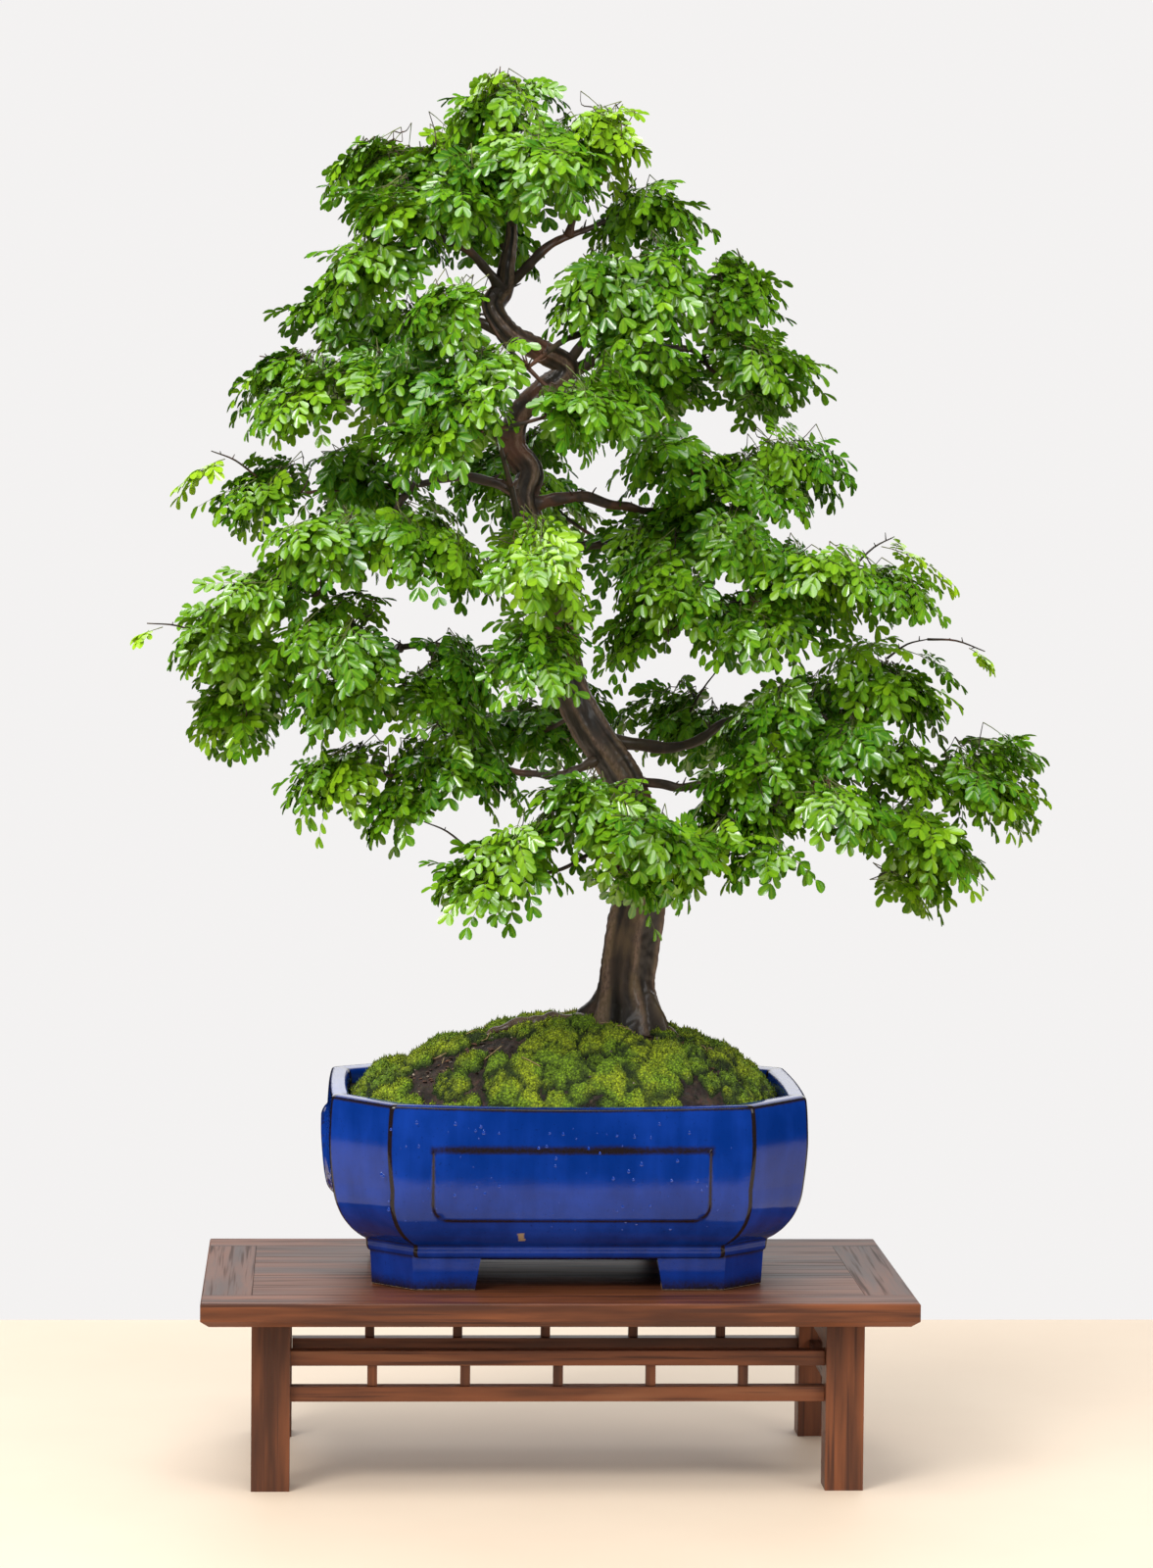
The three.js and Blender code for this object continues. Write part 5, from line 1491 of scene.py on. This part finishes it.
def leaves_of(name, hub, seed, settings):
    """One spray's compound leaves, in millimetres.

    A leaf's stalk leaves its shoot along the leaf's heading and sags by the square of the way along it. It
    carries up to three pairs of pinnae, splayed widest at its foot, and each pinna carries five pairs of
    leaflets. A leaflet is an oval, cupped along its midrib and bent down at its tip. The freshest leaves
    are small. Returns the leaflets' points and tones, and the lines of the pinnae and the stalks.
    """
    draw = np.random.default_rng(LEAF_SEED + seed)
    _, start, outward, normal, fresh = spray_shoots(name, hub, SPRAY_SEED + seed, settings)
    count = len(start)
    unfolding = np.where(fresh > 0.9, 0.4, 1.0)
    rachis = draw.uniform(*STALK_LENGTH, count) * unfolding
    t = np.linspace(0.42, 1.0, PINNA_PAIRS)
    sag = draw.uniform(0.0, 0.28, (count, 1, 1))
    nodes = sagging(start, outward, t, rachis, sag)
    along = normalised(outward[:, None] + DOWN * (2 * sag * t[None, :, None]))
    across = normalised(np.cross(along, normal[:, None]))
    over = np.cross(across, along)
    splay = np.radians(np.linspace(*PINNA_SPLAY, PINNA_PAIRS))[None, :, None]
    used = draw.uniform(size=(count, PINNA_PAIRS)) < np.array([0.4, 0.95, 1.0])[None]
    grown = draw.uniform(0.8, 1.15, count) * unfolding
    reach = np.linspace(*PINNA_LENGTH, PINNA_PAIRS)[None] * grown[:, None]
    starts, ways, ups, lengths = [], [], [], []
    for sign in (-1, 1):
        way = along * np.cos(splay) + sign * across * np.sin(splay) + draw.normal(0, 0.1, along.shape)
        starts.append(nodes[used])
        ways.append(normalised(way)[used])
        ups.append(over[used])
        lengths.append((reach * draw.uniform(0.88, 1.1, reach.shape))[used])
    starts, ways, ups, lengths = (np.concatenate(part) for part in (starts, ways, ups, lengths))
    (roots, way, flat, size), lines = pinnae_of(starts, ways, ups, lengths, draw)
    span = settings.leaflet / MM * size[:, None, None]
    side = np.cross(flat, way)
    u, v = LEAFLET_OUTLINE[None, :, 0:1], LEAFLET_OUTLINE[None, :, 1:2]
    curl = -0.14 * u**2 + 0.3 * np.abs(v)
    points = roots[:, None] + (way[:, None] * u + side[:, None] * v + flat[:, None] * curl) * span
    leaf_tone = draw.beta(2.0, 2.4, count) * 0.58 + fresh * 0.75
    pinna_tone = np.tile(np.repeat(leaf_tone, PINNA_PAIRS)[used.ravel()], 2)
    tone = np.tile(np.repeat(pinna_tone, LEAFLET_PAIRS), 2)
    tone = np.clip(tone + draw.uniform(0.02, 0.2, len(roots)), 0, 1)
    return points, tone, lines, sagging(start, outward, np.linspace(0, 1, 4), rachis, sag)


class BONSAI_OT_leaves(bpy.types.Operator):
    """Makes every spray's leaflets as one piece for each spray, and all the leaf stalks."""

    bl_idname = "bonsai.leaves"
    bl_label = "Leaves"

    def execute(self, context):
        settings = context.scene.bonsai_tree
        low, high = (np.array(corner) for corner in CAD_BOUNDS)
        green = leaf_finish(settings, "leaf")
        _, hubs = limb_paths()
        ribs, stalks = [], []
        for seed, (name, hub) in enumerate(sorted(hubs.items())):
            points, tone, lines, stems = leaves_of(name, hub, seed, settings)
            placed = here(points)
            inside = ((placed > low - BOX_MARGIN) & (placed < high + BOX_MARGIN)).all(axis=(1, 2))
            placed, tone = placed[inside], tone[inside]
            count, corners = placed.shape[:2]
            faces = copied(LEAFLET_FACES, count, corners)
            values = {"tone": np.repeat(tone, corners), "rib": np.tile(np.abs(LEAFLET_OUTLINE[:, 1]), count)}
            piece = new_mesh("leaves_" + name, placed.reshape(-1, 3), faces, values=values)
            dress(piece, green, "fresh_leaf" if name in FRESH_SPRAYS else "leaf", "spray_" + name)
            ribs.append(ribbons(lines, 0.32))
            stalks.append(ribbons(stems, 0.55))
        stem = speckled("leaf_stalk", 0.5, (60.0, 2.0, 0.5), ((0.1, 0.19, 0.03), (0.17, 0.13, 0.05)))
        for name, parts in (("leaf_ribs", ribs), ("leaf_stalks", stalks)):
            points, faces = joined(parts)
            dress(new_mesh(name, here(points), faces), stem, "leaf")
        return {"FINISHED"}


# The studio

def area_light(name, place, size, power):
    """A soft light at a place, turned to the middle of the tree."""
    light = bpy.data.lights.new(name, "AREA")
    light.shape = "RECTANGLE"
    light.size, light.size_y = size
    light.energy = power
    lamp = bpy.data.objects.new(name, light)
    bpy.context.scene.collection.objects.link(lamp)
    lamp.location = place
    lamp.visible_camera = False
    lamp.rotation_euler = (Vector(LIGHT_AIM) - Vector(place)).to_track_quat("-Z", "Y").to_euler()


class BONSAI_OT_stage(bpy.types.Operator):
    """Sets the pale floor, the soft studio light and the camera at the photograph's angle."""

    bl_idname = "bonsai.stage"
    bl_label = "Stage"

    def execute(self, context):
        left, right = STAND_X - FLOOR_HALF, STAND_X + FLOOR_HALF
        edges = [STAND_Y + FLOOR_BACK, STAND_Y - FLOOR_FRONT, STAND_Y - FLOOR_HALF]
        pale = speckled("floor", 0.55, (3.0, 4.0, 0.6), ((0.72, 0.58, 0.44), (0.8, 0.67, 0.52)))
        for name, back, front in (("floor", *edges[:2]), ("floor_front", *edges[1:])):
            corners = [(left, front, 0), (right, front, 0), (right, back, 0), (left, back, 0)]
            floor = new_mesh(name, np.array(corners, float), [(0, 1, 2, 3)], smooth=False)
            floor.data.materials.append(pale.material)
            floor.visible_glossy = name == "floor"
        world = bpy.data.worlds.new("studio")
        context.scene.world = world
        world.use_nodes = True
        backdrop = world.node_tree.nodes["Background"]
        backdrop.inputs["Color"].default_value = WORLD_COLOUR
        backdrop.inputs["Strength"].default_value = WORLD_STRENGTH
        world.cycles_visibility.glossy = False
        for name, (place, size, power) in LIGHTS.items():
            area_light(name, place, size, power)
        camera = bpy.data.cameras.new("camera")
        camera.sensor_width = SENSOR
        camera.lens = FOCAL_PX / PHOTO_HEIGHT_PX * SENSOR
        camera.clip_end = 60
        eye = bpy.data.objects.new("camera", camera)
        context.scene.collection.objects.link(eye)
        ahead = Vector((
            math.sin(CAMERA_YAW) * math.cos(CAMERA_PITCH),
            math.cos(CAMERA_YAW) * math.cos(CAMERA_PITCH),
            -math.sin(CAMERA_PITCH),
        ))
        right = Vector((math.cos(CAMERA_YAW), -math.sin(CAMERA_YAW), 0))
        up = right.cross(ahead)
        level = right * math.cos(CAMERA_ROLL) + up * math.sin(CAMERA_ROLL)
        tall = up * math.cos(CAMERA_ROLL) - right * math.sin(CAMERA_ROLL)
        turned = Matrix((level, tall, -ahead)).transposed().to_4x4()
        eye.matrix_world = Matrix.Translation(Vector(here(CAMERA_PLACE))) @ turned
        context.scene.camera = eye
        context.scene.view_settings.view_transform = "Standard"
        return {"FINISHED"}


class BONSAI_PT_panel(bpy.types.Panel):
    """Lists the steps that make the bonsai."""

    bl_idname = "BONSAI_PT_panel"
    bl_label = "Rain tree bonsai"
    bl_space_type = "VIEW_3D"
    bl_region_type = "UI"
    bl_category = "Bonsai"

    def draw(self, context):
        for step in STEPS:
            self.layout.operator(step.bl_idname)
        for group in ("bonsai_stand", "bonsai_pot", "bonsai_ground", "bonsai_tree"):
            owner = getattr(context.scene, group)
            for name in owner.__annotations__:
                self.layout.prop(owner, name)


STEPS = (BONSAI_OT_stage, BONSAI_OT_stand, BONSAI_OT_pot, BONSAI_OT_ground, BONSAI_OT_wood, BONSAI_OT_leaves)
GROUPS = {
    "bonsai_stand": StandSettings,
    "bonsai_pot": PotSettings,
    "bonsai_ground": GroundSettings,
    "bonsai_tree": TreeSettings,
}


def register():
    for name, group in GROUPS.items():
        bpy.utils.register_class(group)
        setattr(bpy.types.Scene, name, PointerProperty(type=group))
    for step in STEPS:
        bpy.utils.register_class(step)
    bpy.utils.register_class(BONSAI_PT_panel)


def unregister():
    bpy.utils.unregister_class(BONSAI_PT_panel)
    for step in reversed(STEPS):
        bpy.utils.unregister_class(step)
    for name, group in reversed(GROUPS.items()):
        delattr(bpy.types.Scene, name)
        bpy.utils.unregister_class(group)


def main():
    """Makes everything in order."""
    register()
    bpy.ops.bonsai.stage()
    bpy.ops.bonsai.stand()
    bpy.ops.bonsai.pot()
    bpy.ops.bonsai.ground()
    bpy.ops.bonsai.wood()
    bpy.ops.bonsai.leaves()


if __name__ == "__main__":
    main()
